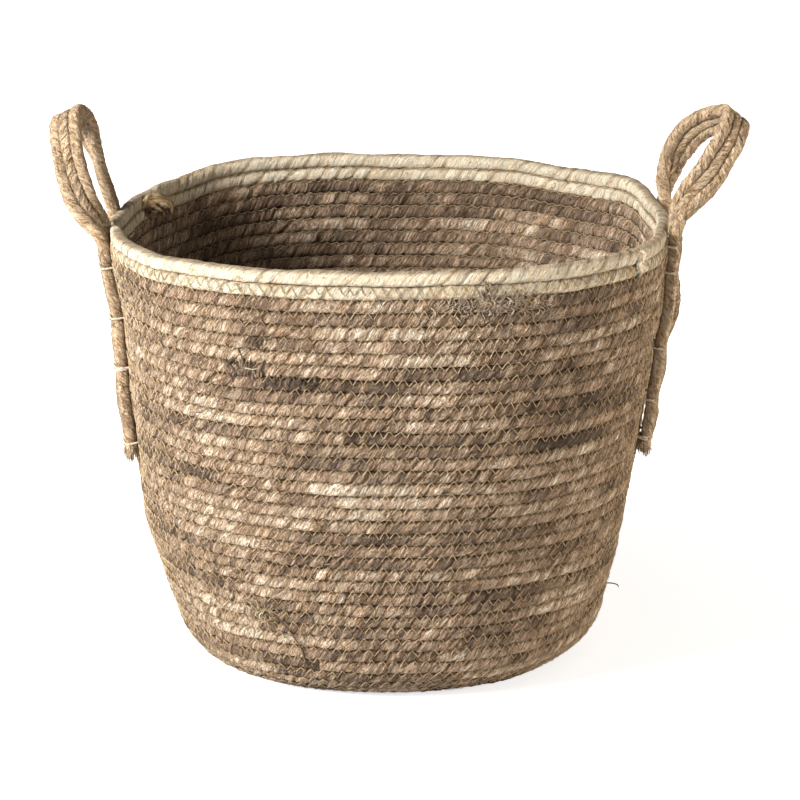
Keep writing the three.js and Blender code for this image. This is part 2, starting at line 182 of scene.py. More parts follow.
class BasketColours(bpy.types.PropertyGroup):
    """Colours of the leaf rope, the thread and the jute."""

    leaf_darkest: colour_property("Darkest leaf", "Aged strips", (0.115, 0.076, 0.052))
    leaf_dark: colour_property("Dark leaf", "Grey brown strips", (0.25, 0.176, 0.128))
    leaf_middle: colour_property("Middle leaf", "Most of the body", (0.475, 0.337, 0.242))
    leaf_light: colour_property("Light leaf", "Tan strips", (0.68, 0.505, 0.38))
    leaf_lightest: colour_property("Lightest leaf", "Straw strips", (0.92, 0.78, 0.65))
    pale_dark: colour_property("Dark pale leaf", "Folds of the pale rope", (0.66, 0.46, 0.25))
    pale_light: colour_property("Light pale leaf", "Most of the pale rope", (0.98, 0.86, 0.7))
    thread: colour_property("Thread", "The sewing thread", (0.55, 0.4, 0.22))
    # The dark jute shows in the pits and as painted shade between the strands.
    jute_dark: colour_property("Dark jute", "Between the strands", (0.4, 0.22, 0.09))
    jute_middle: colour_property("Middle jute", "Most of the ropes", (0.9, 0.62, 0.37))
    jute_light: colour_property("Light jute", "On top of the strands", (0.98, 0.79, 0.56))
    twine: colour_property("Twine", "The ties of the loops", (0.75, 0.63, 0.46))
    # Painted light: the right loop's jute is lighter, for the light it lacks in shadow; the left is darker.
    left_shade: FloatProperty(name="Left shade", description="Of the left loop's jute", default=0.94)
    right_shade: FloatProperty(name="Right shade", description="Of the right loop's jute", default=1.03)


# Shapes as functions of two parameters

def smooth_step(low, high, x):
    """0 below low, 1 above high, and a cubic ease between them."""
    share = np.clip((x - low) / (high - low), 0, 1)
    return share * share * (3 - 2 * share)


def unit(vectors):
    """Vectors divided by their lengths."""
    return vectors / np.linalg.norm(vectors, axis=-1, keepdims=True)


def power_wave(wave, squareness):
    """A sine or cosine whose shoulders are squared: its size raised to 2 / squareness."""
    return np.sign(wave) * np.abs(wave) ** (2 / squareness)


def even_angles(sides):
    """The angles of a section's points, in even steps."""
    return np.arange(sides) / sides * TAU


def value_noise(at, spacing, rng):
    """Random values at even knots along one line, joined by cubic eases; between -1 and 1."""
    knots = rng.uniform(-1, 1, int(np.max(at) / spacing) + 3)
    place = at / spacing
    index = np.floor(place).astype(int)
    ease = smooth_step(0, 1, place - index)
    return knots[index] * (1 - ease) + knots[index + 1] * ease


def patches(at, shortest, longest, blend, rng, sets=1):
    """Plateaus of random value and random length along one line, joined over a short blend; each
    further set has its own values on the same plateaus."""
    count = int(np.max(at) / shortest) + 3
    edges = np.cumsum(rng.uniform(shortest, longest, count))
    knots = np.stack([edges - blend / 2, edges + blend / 2], axis=1).ravel()
    values = rng.uniform(0, 1, (sets, count + 1))
    levels = np.stack([values[:, :-1], values[:, 1:]], axis=2).reshape(sets, -1)
    return np.stack([np.interp(at, knots, level) for level in levels], axis=1)


def wall_section(body, length):
    """Radius, height and slope of the wall's middle line: flat floor, round corner, and a wall whose
    lean from upright falls evenly with the length from foot to rim."""
    floor = body.floor_turns * body.row_pitch
    corner = (math.pi / 2 - body.lean_at_foot) * body.corner_radius
    wall = body.rim_turn * body.row_pitch - floor - corner
    turned = np.clip((length - floor) / body.corner_radius, 0, math.pi / 2 - body.lean_at_foot)
    radius = np.minimum(length, floor) + body.corner_radius * np.sin(turned)
    height = body.rest_height + body.corner_radius * (1 - np.cos(turned))
    climbed = np.maximum(length - floor - corner, 0)
    rate = (body.lean_at_foot - body.lean_at_rim) / wall
    lean = body.lean_at_foot - rate * climbed
    radius = radius + (np.cos(lean) - math.cos(body.lean_at_foot)) / rate
    height = height + (math.sin(body.lean_at_foot) - np.sin(lean)) / rate
    slope = np.where(climbed > 0, math.pi / 2 - lean, turned)
    return radius, height, slope


def plan_reach(body, length, azimuth):
    """How far the plan reaches at an azimuth: a circle at the floor that grows into a superellipse."""
    whole = body.rim_turn * body.row_pitch
    squareness = 2 + (body.rim_squareness - 2) * np.clip(length / whole, 0, 1)
    spread = np.abs(np.cos(azimuth)) ** squareness + np.abs(np.sin(azimuth)) ** squareness
    return spread ** (-1 / squareness)


def strap_dent(body, length, azimuth):
    """How far the ties draw the wall in: one wave each side of the left and right extremes."""
    depth, wave = 2.4 * MM, math.radians(360 / TURN_STEPS)
    off_axis = np.abs((azimuth + math.pi / 2) % math.pi - math.pi / 2)
    dip = np.where(off_axis < wave, (1 - np.cos(off_axis / wave * TAU)) / 2, 0)
    height_share = smooth_step(0.5, 0.62, length / (body.rim_turn * body.row_pitch))
    return depth * dip * height_share


def looked_up(table, at, period=None):
    """Metres read off a table of (place, millimetres), with straight lines between its rows."""
    places, values = zip(*table)
    return np.interp(at, places, values, period=period) * MM


def stray(body, length, azimuth, seed):
    """A sum of slow waves round and up the wall, which bends neighbouring rows alike."""
    rng = np.random.default_rng(seed)
    whole = body.rim_turn * body.row_pitch
    total = np.zeros(np.broadcast(length, azimuth).shape)
    for turns_round, waves_up in ((2, 0.7), (3, 1.3), (5, 2.1), (8, 2.9), (13, 5.3), (21, 8.1)):
        phase, drift = rng.uniform(0, TAU, 2)
        size = turns_round ** -0.6
        wave = np.cos(waves_up * TAU * length / whole + drift)
        total += size * np.sin(turns_round * azimuth + phase) * wave
    return body.waviness * total * smooth_step(0.25, 0.4, length / whole)


def wall_point(body, length, outward, azimuth):
    """Points of the body: the section point, moved along its normal, scaled by the plan's reach and
    strayed a little; nothing lies below the surface that the basket stands on."""
    length = np.maximum(length, 0)
    radius, height, slope = wall_section(body, length)
    share = length / (body.rim_turn * body.row_pitch)
    flare = body.rim_flare * np.abs(np.cos(azimuth)) ** 6 * smooth_step(0.86, 0.97, share)
    out = outward + stray(body, length, azimuth, WAVES_OUT) - strap_dent(body, length, azimuth) + flare
    reach = (radius + out * np.sin(slope)) * plan_reach(body, length, azimuth)
    rise = looked_up(RISE_MM, np.degrees(azimuth), 360) * np.clip((share - 0.6) / 0.4, 0, 1)
    z = height - out * np.cos(slope) + 0.7 * stray(body, length, azimuth, WAVES_UP) + rise
    reach = reach + looked_up(SWELL_MM, height / MM) * np.cos(azimuth) ** 2
    x = reach * np.cos(azimuth) + looked_up(SWAY_MM, height / MM)
    return np.stack([x, reach * np.sin(azimuth), np.maximum(z, 0)], axis=-1)


def turn_azimuth(body, turn):
    """The rope ends at the left, at azimuth pi, and winds clockwise seen from above."""
    return math.pi + (body.rim_turn - turn) * TAU


def rope_course(body, first, last, step):
    """Turns, and lengths run along the rope, at even steps from one turn to another."""
    turns = np.linspace(0, last, int(last * 200) + 2)
    radius = wall_section(body, turns * body.row_pitch)[0]
    pieces = TAU * (radius[1:] + radius[:-1]) / 2 * np.diff(turns)
    run = np.concatenate([[0], np.cumsum(pieces)])
    start = np.interp(first, turns, run)
    even = np.linspace(start, run[-1], int((run[-1] - start) / step) + 2)
    return np.interp(even, run, turns), even


def tube(path, radius, guide, sides, twist=0.0, profile=1.0):
    """Rings of points round a path. The first side faces the guide, turned by the twist, and the
    profile scales each side's radius."""
    tangent = unit(np.gradient(path, axis=-2))
    first = unit(guide - tangent * np.sum(guide * tangent, axis=-1, keepdims=True))
    second = np.cross(tangent, first)
    angle = even_angles(sides) + np.asarray(twist)[..., None]
    reach = np.asarray(radius)[..., None] * profile
    across = (reach * np.cos(angle))[..., None] * first[..., None, :]
    along = (reach * np.sin(angle))[..., None] * second[..., None, :]
    return path[..., None, :] + across + along


def smooth_path(points, spacing):
    """A curve through rows of values, whose first three are a point: cubic Hermite pieces with the
    slopes of a parabola through each three neighbours, sampled at even steps of chord length."""
    points = np.asarray(points, float)
    gaps = np.linalg.norm(np.diff(points[:, :3], axis=0), axis=1)
    knots = np.concatenate([[0], np.cumsum(gaps)])
    slopes = np.gradient(points, knots, axis=0)
    at = np.linspace(0, knots[-1], int(knots[-1] / spacing) + 2)
    index = np.clip(np.searchsorted(knots, at, "right") - 1, 0, len(gaps) - 1)
    gap = gaps[index][:, None]
    share = (at - knots[index])[:, None] / gap
    cube, square = share ** 3, share ** 2
    return (
        points[index] * (2 * cube - 3 * square + 1)
        + slopes[index] * gap * (cube - 2 * square + share)
        + points[index + 1] * (3 * square - 2 * cube)
        + slopes[index + 1] * gap * (cube - square)
    )


def fibre_places(run, radius, sides):
    """A strand's points in coordinates of its own: round a circle, and the run along it."""
    column = even_angles(sides)
    return np.stack([
        radius * np.cos(column) + 0 * run[..., None],
        radius * np.sin(column) + 0 * run[..., None],
        run[..., None] + 0 * column,
    ], axis=-1)


def strand_attributes(run, radius, sides, painted_shade_and_tone):
    """Attributes of a plain strand: its places for the fibre's noise, and even painted shade and tone."""
    fibre = fibre_places(run, radius, sides)
    return {"fibre": fibre, "painted_shade_and_tone": np.full(fibre.shape[:-1], painted_shade_and_tone)}


# Meshes

def tube_mesh(name, tubes, attributes, material):
    """One object from one tube (rings, sides, 3) or from an array of them (count, rings, sides, 3), each
    closed by a pole at both ends. An attribute has the same axes, with or without the last one."""
    if tubes.ndim == 3:
        tubes = tubes[None]
        attributes = {key: values[None] for key, values in attributes.items()}
    count, rings, sides, _ = tubes.shape
    poles = tubes[:, [0, -1]].mean(axis=2)
    points = np.concatenate([tubes.reshape(-1, 3), poles.reshape(-1, 3)])
    start = (np.arange(count) * rings * sides)[:, None, None]
    ring = (np.arange(rings - 1) * sides)[None, :, None]
    side = np.arange(sides)[None, None, :]
    following = (side + 1) % sides
    quads = np.stack([
        start + ring + side, start + ring + following,
        start + ring + sides + following, start + ring + sides + side,
    ], axis=-1).reshape(-1, 4)
    pole = count * rings * sides + np.arange(count)[:, None] * 2
    base = start[:, :, 0]
    top = base + (rings - 1) * sides
    side, following = side[0], following[0]
    near = np.stack([base + following, base + side, pole + 0 * side], axis=-1)
    far = np.stack([top + side, top + following, pole + 1 + 0 * side], axis=-1)
    fans = np.concatenate([near.reshape(-1, 3), far.reshape(-1, 3)])
    corners = points[quads]
    normals = np.cross(corners[:, 2] - corners[:, 0], corners[:, 3] - corners[:, 1])
    centre = np.repeat(tubes.mean(axis=2)[:, :-1].reshape(-1, 3), sides, axis=0)
    if np.sum((corners.mean(axis=1) - centre) * normals) < 0:
        quads, fans = quads[:, ::-1], fans[:, ::-1]
    mesh = bpy.data.meshes.new(name)
    mesh.vertices.add(len(points))
    mesh.vertices.foreach_set("co", points.astype(np.float32).ravel())
    loops = np.concatenate([quads.ravel(), fans.ravel()]).astype(np.int32)
    mesh.loops.add(len(loops))
    mesh.loops.foreach_set("vertex_index", loops)
    sizes = np.concatenate([np.full(len(quads), 4), np.full(len(fans), 3)])
    mesh.polygons.add(len(sizes))
    mesh.polygons.foreach_set("loop_start", (np.cumsum(sizes) - sizes).astype(np.int32))
    mesh.update(calc_edges=True)
    mesh.polygons.foreach_set("use_smooth", np.ones(len(sizes), bool))
    for key, values in attributes.items():
        ends = values[:, [0, -1]].mean(axis=2)
        width = 3 if values.ndim == 4 else 1
        flat = np.concatenate([values.reshape(-1, width), ends.reshape(-1, width)])
        kind, slot = ("FLOAT_VECTOR", "vector") if width == 3 else ("FLOAT", "value")
        layer = mesh.attributes.new(key, kind, "POINT")
        layer.data.foreach_set(slot, flat.astype(np.float32).ravel())
    mesh.materials.append(material)
    made = bpy.data.objects.new(name, mesh)
    bpy.context.scene.collection.objects.link(made)
    return made


def basket_piece(name, tubes, attributes, material, nodes=()):
    """A piece of tubes that moves with the basket's body and takes the place of some nodes."""
    made = tube_mesh(name, tubes, attributes, material)
    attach(made, "basket")
    if nodes:
        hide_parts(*nodes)


# Materials

class Shader:
    """A material and short ways to add and link its nodes."""

    def __init__(self, name):
        self.material = bpy.data.materials.new(name)
        self.material.use_nodes = True
        self.tree = self.material.node_tree
        self.surface = self.tree.nodes["Principled BSDF"]

    def add(self, kind, inputs=None, **settings):
        """A node with its settings, whose inputs are linked to sockets or set to values."""
        node = self.tree.nodes.new(kind)
        for key, value in settings.items():
            setattr(node, key, value)
        for key, value in (inputs or {}).items():
            if isinstance(value, bpy.types.NodeSocket):
                self.tree.links.new(value, node.inputs[key])
            else:
                node.inputs[key].default_value = value
        return node

    def attribute(self, name, output="Fac"):
        """The value of a mesh attribute."""
        return self.add("ShaderNodeAttribute", attribute_name=name).outputs[output]

    def math(self, operation, first, second=0.0):
        """The result of one sum."""
        return self.add("ShaderNodeMath", {0: first, 1: second}, operation=operation).outputs[0]

    def mixed(self, *parts):
        """The sum of values, each times its share."""
        total, *others = (self.math("MULTIPLY", value, share) for value, share in parts)
        for value in others:
            total = self.math("ADD", total, value)
        return total

    def noise(self, vector, stretch, detail=4.0, roughness=0.6, contrast=0.2, distortion=0.0):
        """Noise whose grains are one unit over the stretch long on each axis, from 0 to 1; it reaches
        them this contrast away from its middle value."""
        placed = self.add("ShaderNodeMapping", {"Vector": vector, "Scale": stretch})
        value = self.add("ShaderNodeTexNoise", {
            "Vector": placed.outputs[0], "Scale": 1.0, "Detail": detail, "Roughness": roughness,
            "Distortion": distortion,
        }).outputs["Fac"]
        return self.spread(value, 0.0, 1.0, 0.5 - contrast, 0.5 + contrast)

    def lines(self, vector, stretch, width):
        """Thin wandering lines: 1 where smooth noise is at its middle value, 0 this far from it."""
        value = self.noise(vector, stretch, 2.0, 0.5, 0.5, 1.3)
        off = self.math("ABSOLUTE", self.math("SUBTRACT", value, 0.5))
        return self.spread(off, 1.0, 0.0, 0.0, width)

    def cells(self, vector, stretch, warp):
        """Cells one unit over the stretch long on each axis, with wavy borders: a random value for
        each cell, and the distance to the nearest border in cell lengths."""
        placed = self.add("ShaderNodeMapping", {"Vector": vector, "Scale": stretch}).outputs[0]
        waves = self.add("ShaderNodeTexNoise", {"Vector": placed, "Scale": 1.3, "Detail": 3.0})
        bent = self.add(
            "ShaderNodeVectorMath", {0: waves.outputs["Color"], 1: (warp, warp, warp), 2: placed},
            operation="MULTIPLY_ADD",
        ).outputs[0]
        inner = self.add("ShaderNodeTexVoronoi", {"Vector": bent, "Scale": 1.0}).outputs["Color"]
        value = self.add("ShaderNodeSeparateColor", {0: inner}).outputs[0]
        border = self.add("ShaderNodeTexVoronoi", {"Vector": bent, "Scale": 1.0}, feature="DISTANCE_TO_EDGE")
        return value, border.outputs["Distance"]

    def ramp(self, factor, stops):
        """A colour looked up along a list of (place, colour)."""
        node = self.add("ShaderNodeValToRGB", {"Fac": factor})
        marks = node.color_ramp.elements
        while len(marks) < len(stops):
            marks.new(0.5)
        for mark, (place, colour) in zip(marks, stops):
            mark.position = place
            mark.color = (*colour, 1)
        return node.outputs["Color"]

    def darken(self, colour, shade):
        """A colour multiplied by a shade, which is warmer the darker it is."""
        green = self.math("POWER", shade, 1.17)
        blue = self.math("POWER", shade, 1.38)
        tone = self.add("ShaderNodeCombineColor", {0: shade, 1: green, 2: blue})
        return self.multiply(colour, tone.outputs[0])

    def multiply(self, first, second):
        """One colour times another."""
        return self.add(
            "ShaderNodeMix", {"Factor": 1.0, 6: first, 7: second}, data_type="RGBA", blend_type="MULTIPLY",
        ).outputs[2]

    def spread(self, value, low, high, first=0.0, last=1.0):
        """A value between first and last spread between low and high."""
        return self.add("ShaderNodeMapRange", {
            "Value": value, "From Min": first, "From Max": last, "To Min": low, "To Max": high,
        }).outputs[0]

    def finish(self, colour, height, depth, roughness):
        """Links colour and bump to the shader, with a depth in metres and a fixed roughness."""
        bump = self.add("ShaderNodeBump", {"Height": height, "Distance": depth, "Strength": 1.0})
        self.tree.links.new(colour, self.surface.inputs["Base Color"])
        self.tree.links.new(bump.outputs[0], self.surface.inputs["Normal"])
        self.surface.inputs["Roughness"].default_value = roughness
        self.surface.inputs["Specular IOR Level"].default_value = 0.25
        return self.material


def leaf_finish(name, stops, contrast, grain):
    """Twisted dry leaf: the tint attribute picks a strip's colour, and cells drawn out along the lay are
    torn leaves with a painted shadow along their edges. Ribs, dark cracks and painted glints of light run
    along the leaves, wrinkles cross them, broad blotches lie over neighbouring rows, and the rope's
    painted shade attribute darkens the grooves and seams."""
    shader = Shader(name)
    along = shader.attribute("fibre", "Vector")
    place = shader.add("ShaderNodeTexCoord").outputs["Object"]
    ribs = shader.noise(along, (1500, 1500, 420), 3.0, 0.7, 0.17, 0.8)
    wrinkles = shader.noise(along, (1000, 1000, 800), 3.0, 0.7, 0.16, 1.2)
    strips = shader.noise(along, (260, 260, 110), 3.0, 0.6, 0.2, 0.6)
    blotches = shader.noise(place, (14, 14, 26), 3.0, 0.6)
    warmth = shader.noise(along, (150, 150, 70), 3.0, 0.65, 0.2)
    leaf, border = shader.cells(along, (190, 190, 80), 1.8)
    cracks = shader.lines(along, (420, 420, 130), 0.05)
    splits = shader.lines(along, (140, 140, 42), 0.016)
    glints = shader.lines(along, (560, 520, 190), 0.05)
    tint = shader.attribute("tint")
    for values, reach in ((strips, contrast / 2), (leaf, contrast / 5), (blotches, 0.15)):
        tint = shader.math("ADD", tint, shader.spread(values, -reach, reach))
    # Painted highlight: thin glints of light lift the tint towards the lightest leaf.
    tint = shader.math("ADD", tint, shader.spread(glints, 0.0, 0.2 * grain))
    colour = shader.ramp(tint, stops)
    hue = shader.ramp(warmth, [(0.0, (0.93, 1.0, 1.0)), (1.0, (1.0, 0.93, 0.8))])
    colour = shader.multiply(colour, hue)
    fine = shader.math(
        "MULTIPLY", shader.spread(ribs, 1 - 0.4 * grain, 1 + 0.38 * grain),
        shader.spread(wrinkles, 1 - 0.4 * grain, 1 + 0.38 * grain),
    )
    torn = shader.math(
        "MULTIPLY", shader.spread(cracks, 1.0, 1 - 0.7 * grain), shader.spread(splits, 1.0, 0.45),
    )
    # Painted shadow along the edges of the torn leaves, times the dark cracks and splits.
    edge_shadow_and_cracks = shader.math("MULTIPLY", shader.spread(border, 1 - 0.5 * grain, 1.0, 0.0, 0.06), torn)
    # Painted shade in the rope's grooves and seams, read from its attribute.
    painted_shade_and_tone = shader.spread(shader.attribute("painted_shade_and_tone"), 1.0, 0.3)
    shade = shader.math("MULTIPLY", shader.math("MULTIPLY", fine, edge_shadow_and_cracks), painted_shade_and_tone)
    height = shader.mixed((ribs, 0.3), (strips, 0.3), (wrinkles, 0.55), (cracks, -0.25))
    return shader.finish(shader.darken(colour, shade), height, 1.3 * MM, 0.8)


def shades(colour, *shares):
    """A colour times each share, up to white."""
    return [tuple(min(1, share * part) for part in colour) for share in shares]


def fibre_finish(name, dark, middle, light, depth):
    """Twisted fibre, as jute, twine and thread: short hairs and tufts, dark in the pits, and with painted
    shade in the grooves.
    """
    shader = Shader(name)
    along = shader.attribute("fibre", "Vector")
    hairs = shader.noise(along, (1500, 1500, 600), 4.0, 0.7, 0.14, 1.6)
    tufts = shader.noise(along, (520, 520, 330), 4.0, 0.7, 0.17, 1.4)
    pits = shader.noise(along, (430, 430, 300), 3.0, 0.65, 0.13, 1.4)
    # Painted shade: the attribute's term darkens the grooves; the pits are dark specks of the fibre.
    tone = shader.mixed(
        (hairs, 0.45), (tufts, 0.55), (shader.spread(pits, 0.75, 0.0, 0.0, 0.42), -1.0),
        (shader.attribute("painted_shade_and_tone"), -0.5),
    )
    colour = shader.ramp(tone, [(0.0, dark), (0.26, middle), (0.75, light)])
    height = shader.math("ADD", shader.math("ADD", hairs, tufts), shader.spread(pits, 0.0, 1.0, 0.0, 0.4))
    return shader.finish(colour, height, depth, 0.85)


def body_finishes(colours):
    """The brown and the pale leaf materials."""
    brown = leaf_finish("brown_leaf", [
        (0.03, colours.leaf_darkest), (0.27, colours.leaf_dark), (0.5, colours.leaf_middle),
        (0.75, colours.leaf_light), (0.98, colours.leaf_lightest),
    ], 0.5, 1.0)
    pale = leaf_finish("pale_leaf", [(0.0, colours.pale_dark), (0.36, colours.pale_light)], 0.3, 0.42)
    return brown, pale


# The body rope

# Where one leaf ends and the next one starts, as shares of the way round the rope.
LEAF_EDGES = (0.17, 0.45, 0.62, 1)

# Places where the rope is thick: turn, azimuth in degrees, and half length, rise and bulge in mm.
LUMPS = (
    (46.2, -70.5, 6, 3.5, 1.8), (46.2, -62, 7, 0.5, 1.5), (40.33, -119, 8, 0, 1.8), (21.33, -120, 9, 0, 2),
)


def lumps(body, turns, azimuth):
    """How far each point of the rope rises and bulges: a bell along the rope at each lump."""
    rise, bulge = np.zeros(len(turns)), np.zeros(len(turns))
    for turn, place, half, up, out in LUMPS:
        radius = wall_section(body, turn * body.row_pitch)[0]
        off = (azimuth - math.radians(place) + math.pi) % TAU - math.pi
        bell = np.exp(-(off * radius / (half * MM)) ** 2) * (np.abs(turns - turn) < 0.4)
        rise, bulge = rise + bell * up * MM, bulge + bell * out * MM
    return rise, bulge


# Stretches where the rope is darker or paler: turn, azimuths of both ends in degrees, shift of the tint.
TONES = (
    (46.2, -78, -58, 0.15), (45.3, -116, -98, -0.22), (44.15, -58, -46, -0.45), (44.11, -46, -28, -0.3),
    (44.32, -126, -107, 0.28), (44.23, -101, -68, 0.15), (42.1, -44, -24, -0.2), (41.2, -77, -68, -0.3),
    (41.12, -55, -30, -0.18), (40.28, -116, -88, -0.28), (40.17, -78, -44, -0.25), (39.38, -142, -134, 0.3),
    (39.27, -108, -88, 0.15), (38.16, -66, -44, -0.2), (38.12, -40, -26, 0.2), (37.36, -143, -120, 0.22),
    (36.3, -118, -98, 0.35), (35.2, -88, -60, -0.25), (35.14, -58, -42, -0.28), (34.13, -55, -32, 0.22),
    (32.24, -106, -68, 0.24), (31.37, -138, -130, 0.25), (31.18, -76, -55, -0.25), (30.26, -96, -90, 0.35),
    (28.25, -94, -86, -0.3), (28.16, -64, -50, -0.2), (27.34, -126, -118, 0.4), (25.2, -87, -54, 0.2),
    (24.36, -138, -125, 0.25), (24.31, -121, -100, 0.25), (23.18, -70, -63, -0.25), (22.23, -87, -75, -0.25),
    (19.3, -125, -104, 0.28),
)


def tones(turns, azimuth):
    """The shift of the tint along the rope: even on each stretch, with soft ends."""
    shift = np.zeros(len(turns))
    for turn, start, end, change in TONES:
        off = (np.degrees(azimuth) - (start + end) / 2 + 180) % 360 - 180
        inside = smooth_step(-1.5, 1.5, (end - start) / 2 - np.abs(off))
        shift += change * inside * (np.abs(turns - turn) < 0.45)
    return shift


def leaf_rope(body, first, last, seed):
    """Rings of one length of the body rope and its colour attributes. Round the section the rope is a
    superellipse, flat where the rows meet; its columns of points turn with the lay, and two grooves,
    single leaves of uneven height and some folds run along those columns."""
    rng = np.random.default_rng(seed)
    turns, run = rope_course(body, first, last, body.rope_step)
    sides = body.rope_sides
    column = even_angles(sides)
    wobble = 1.2 * value_noise(run, 45 * MM, rng) + 0.6 * value_noise(run, 14 * MM, rng)
    angle = column + (TAU * run / body.lay_length + wobble)[:, None]
    groove = (1 - np.abs(np.sin(column)) ** 0.45) * (0.65 + 0.5 * value_noise(run, 16 * MM, rng))[:, None]
    pieces = [patches(run, 5 * MM, 34 * MM, 2.2 * MM, rng, 2) for _ in LEAF_EDGES]
    leaves = np.stack(pieces, axis=1)[:, np.searchsorted(LEAF_EDGES, (np.arange(sides) + 0.5) / sides)]
    folds = np.stack([value_noise(run, 6 * MM, rng) for _ in column], axis=1)
    crumple = rng.normal(size=folds.shape)
    thickness = 1 + 0.045 * value_noise(run, 24 * MM, rng) + 0.05 * value_noise(run, 8 * MM, rng)
    rough = 0.6 if first >= body.pale_turn else 1.0
    relief = rough * (0.13 * (leaves[..., 1] - 0.5) + 0.05 * folds + 0.04 * crumple)
    swell = thickness[:, None] * (1 - 0.15 * groove + relief)
    azimuth = turn_azimuth(body, turns)[:, None]
    lump_up, lump_out = lumps(body, turns, azimuth[:, 0])
    up = body.rope_height * power_wave(np.cos(angle), ROPE_POWER) * (0.55 + 0.45 * swell)
    climb = 0.55 * value_noise(run, 29 * MM, rng) + 0.3 * value_noise(run, 11 * MM, rng) + 0.6
    up = up + (climb * MM + lump_up)[:, None] * (1 + up / body.rope_height) / 2
    out = body.rope_width * power_wave(np.sin(angle), ROPE_POWER) * swell
    out = out + (0.5 * MM * value_noise(run, 34 * MM, rng))[:, None]
    out = out + np.maximum(np.sin(angle), 0) * lump_out[:, None]
    ending = smooth_step(0, 70 * MM, (body.rim_turn - turns) * TAU * 0.2)[:, None]
    taper = 0.2 + 0.8 * ending
    up = (up + body.rope_height) * taper - body.rope_height
    rings = wall_point(body, turns[:, None] * body.row_pitch + up, out * taper, azimuth)
    common = patches(run, 18 * MM, 95 * MM, 9 * MM, rng)
    slow = 0.5 + 0.5 * value_noise(run, 0.35, rng)[:, None]
    tint = 0.5 + 0.46 * (common - 0.5) + 0.28 * (leaves[..., 0] - 0.5) + 0.22 * (slow - 0.5)
    tint = tint + tones(turns, azimuth[:, 0])[:, None] * (0.5 + 0.7 * leaves[..., 0])
    # Painted shade: darker in the grooves, in the seams where rows meet and where the relief sinks.
    seam = smooth_step(0.78, 1.0, np.abs(up) / body.rope_height)
    painted_shade_and_tone = np.clip(0.65 * groove + 0.6 * seam - 4 * relief, 0, 1)
    return rings, {"tint": tint, "painted_shade_and_tone": painted_shade_and_tone, "fibre": fibre_places(run, body.rope_width, sides)}


class BASKET_OT_body_rope(bpy.types.Operator):
    """Winds the leaf rope of the floor, the wall and the pale rim"""

    bl_idname = "basket.body_rope"
    bl_label = "Body rope"

    def execute(self, context):
        body = context.scene.basket_body
        brown, pale = body_finishes(context.scene.basket_colours)
        lengths = [
            ("floor_rope", body.first_turn, 13, brown, "coil_floor"),
            ("foot_rope_low", 13, 17.3, brown, "coil_foot_low"),
            ("foot_rope_high", 17.3, 21.3, brown, "coil_foot_high"),
            ("wall_rope_low", 21.3, 27.7, brown, "coil_wall"),
            ("wall_rope_middle", 27.7, 34, brown, "coil_wall"),
            ("wall_rope_high", 34, 40.3, brown, "coil_wall"),
            ("collar_rope", 40.3, body.pale_turn, brown, "coil_collar"),
            ("rim_rope", body.pale_turn, body.rim_turn, pale, "coil_rim"),
        ]
        for seed, (name, first, last, material, node) in enumerate(lengths):
            rings, attributes = leaf_rope(body, first, last, 20 + seed)
            basket_piece(name, rings, attributes, material, [node])
        return {"FINISHED"}


# The sewing thread

def zigzag(body, thread, first, last, face, drop, seed):
    """The path of the thread over the seam under each turn, and the way it faces. It comes out of a
    hole in one row, crosses the seam and goes into a hole in the next; face is 1 outside, -1 inside.
    With a drop its points lie lower and further apart."""
    rng = np.random.default_rng(seed)
    turns, run = rope_course(body, first, last, thread.stitch_length / 2)
    count = len(turns)
    jitter = rng.uniform(-1, 1, (count, 3))
    side = np.where(np.arange(count) % 2 == 0, 1.0, -1.0)
    span = side * (thread.stitch_height / (2 if face > 0 else 7) + 0.3 * drop) * (1 + 0.35 * jitter[:, 0])
    span = span - drop
    turns = turns + jitter[:, 1] * 0.12 * np.gradient(turns)
    share = np.array([0, 0.1, 0.5, 0.9] if face > 0 else [0, 0.1, 0.9])
    up = span[:-1, None] * (1 - share) + span[1:, None] * share
    turn = turns[:-1, None] * (1 - share) + turns[1:, None] * share
    crown = 1 - np.abs(1 - np.abs(up) / (body.row_pitch / 2)) ** ROPE_POWER
    surface = body.rope_width * (0.8 + 0.2 * np.maximum(crown, 0))
    hole = np.where(share == 0, -1.4 * MM, 0)
    proud = 0.15 * MM + 0.15 * drop
    out = face * (surface + proud + thread.radius * (0.5 + 0.8 * jitter[:-1, 2:3]) + hole)
    length = (turn - 0.5) * body.row_pitch + up
    azimuth = turn_azimuth(body, turn)
    path = wall_point(body, length, out, azimuth).reshape(-1, 3)
    guide = path - wall_point(body, length, out - 2 * face * MM, azimuth).reshape(-1, 3)
    path[:, 2] = np.maximum(path[:, 2], thread.radius)
    run = (run[:-1, None] + share * thread.stitch_length / 2).ravel()
    return path, guide, run


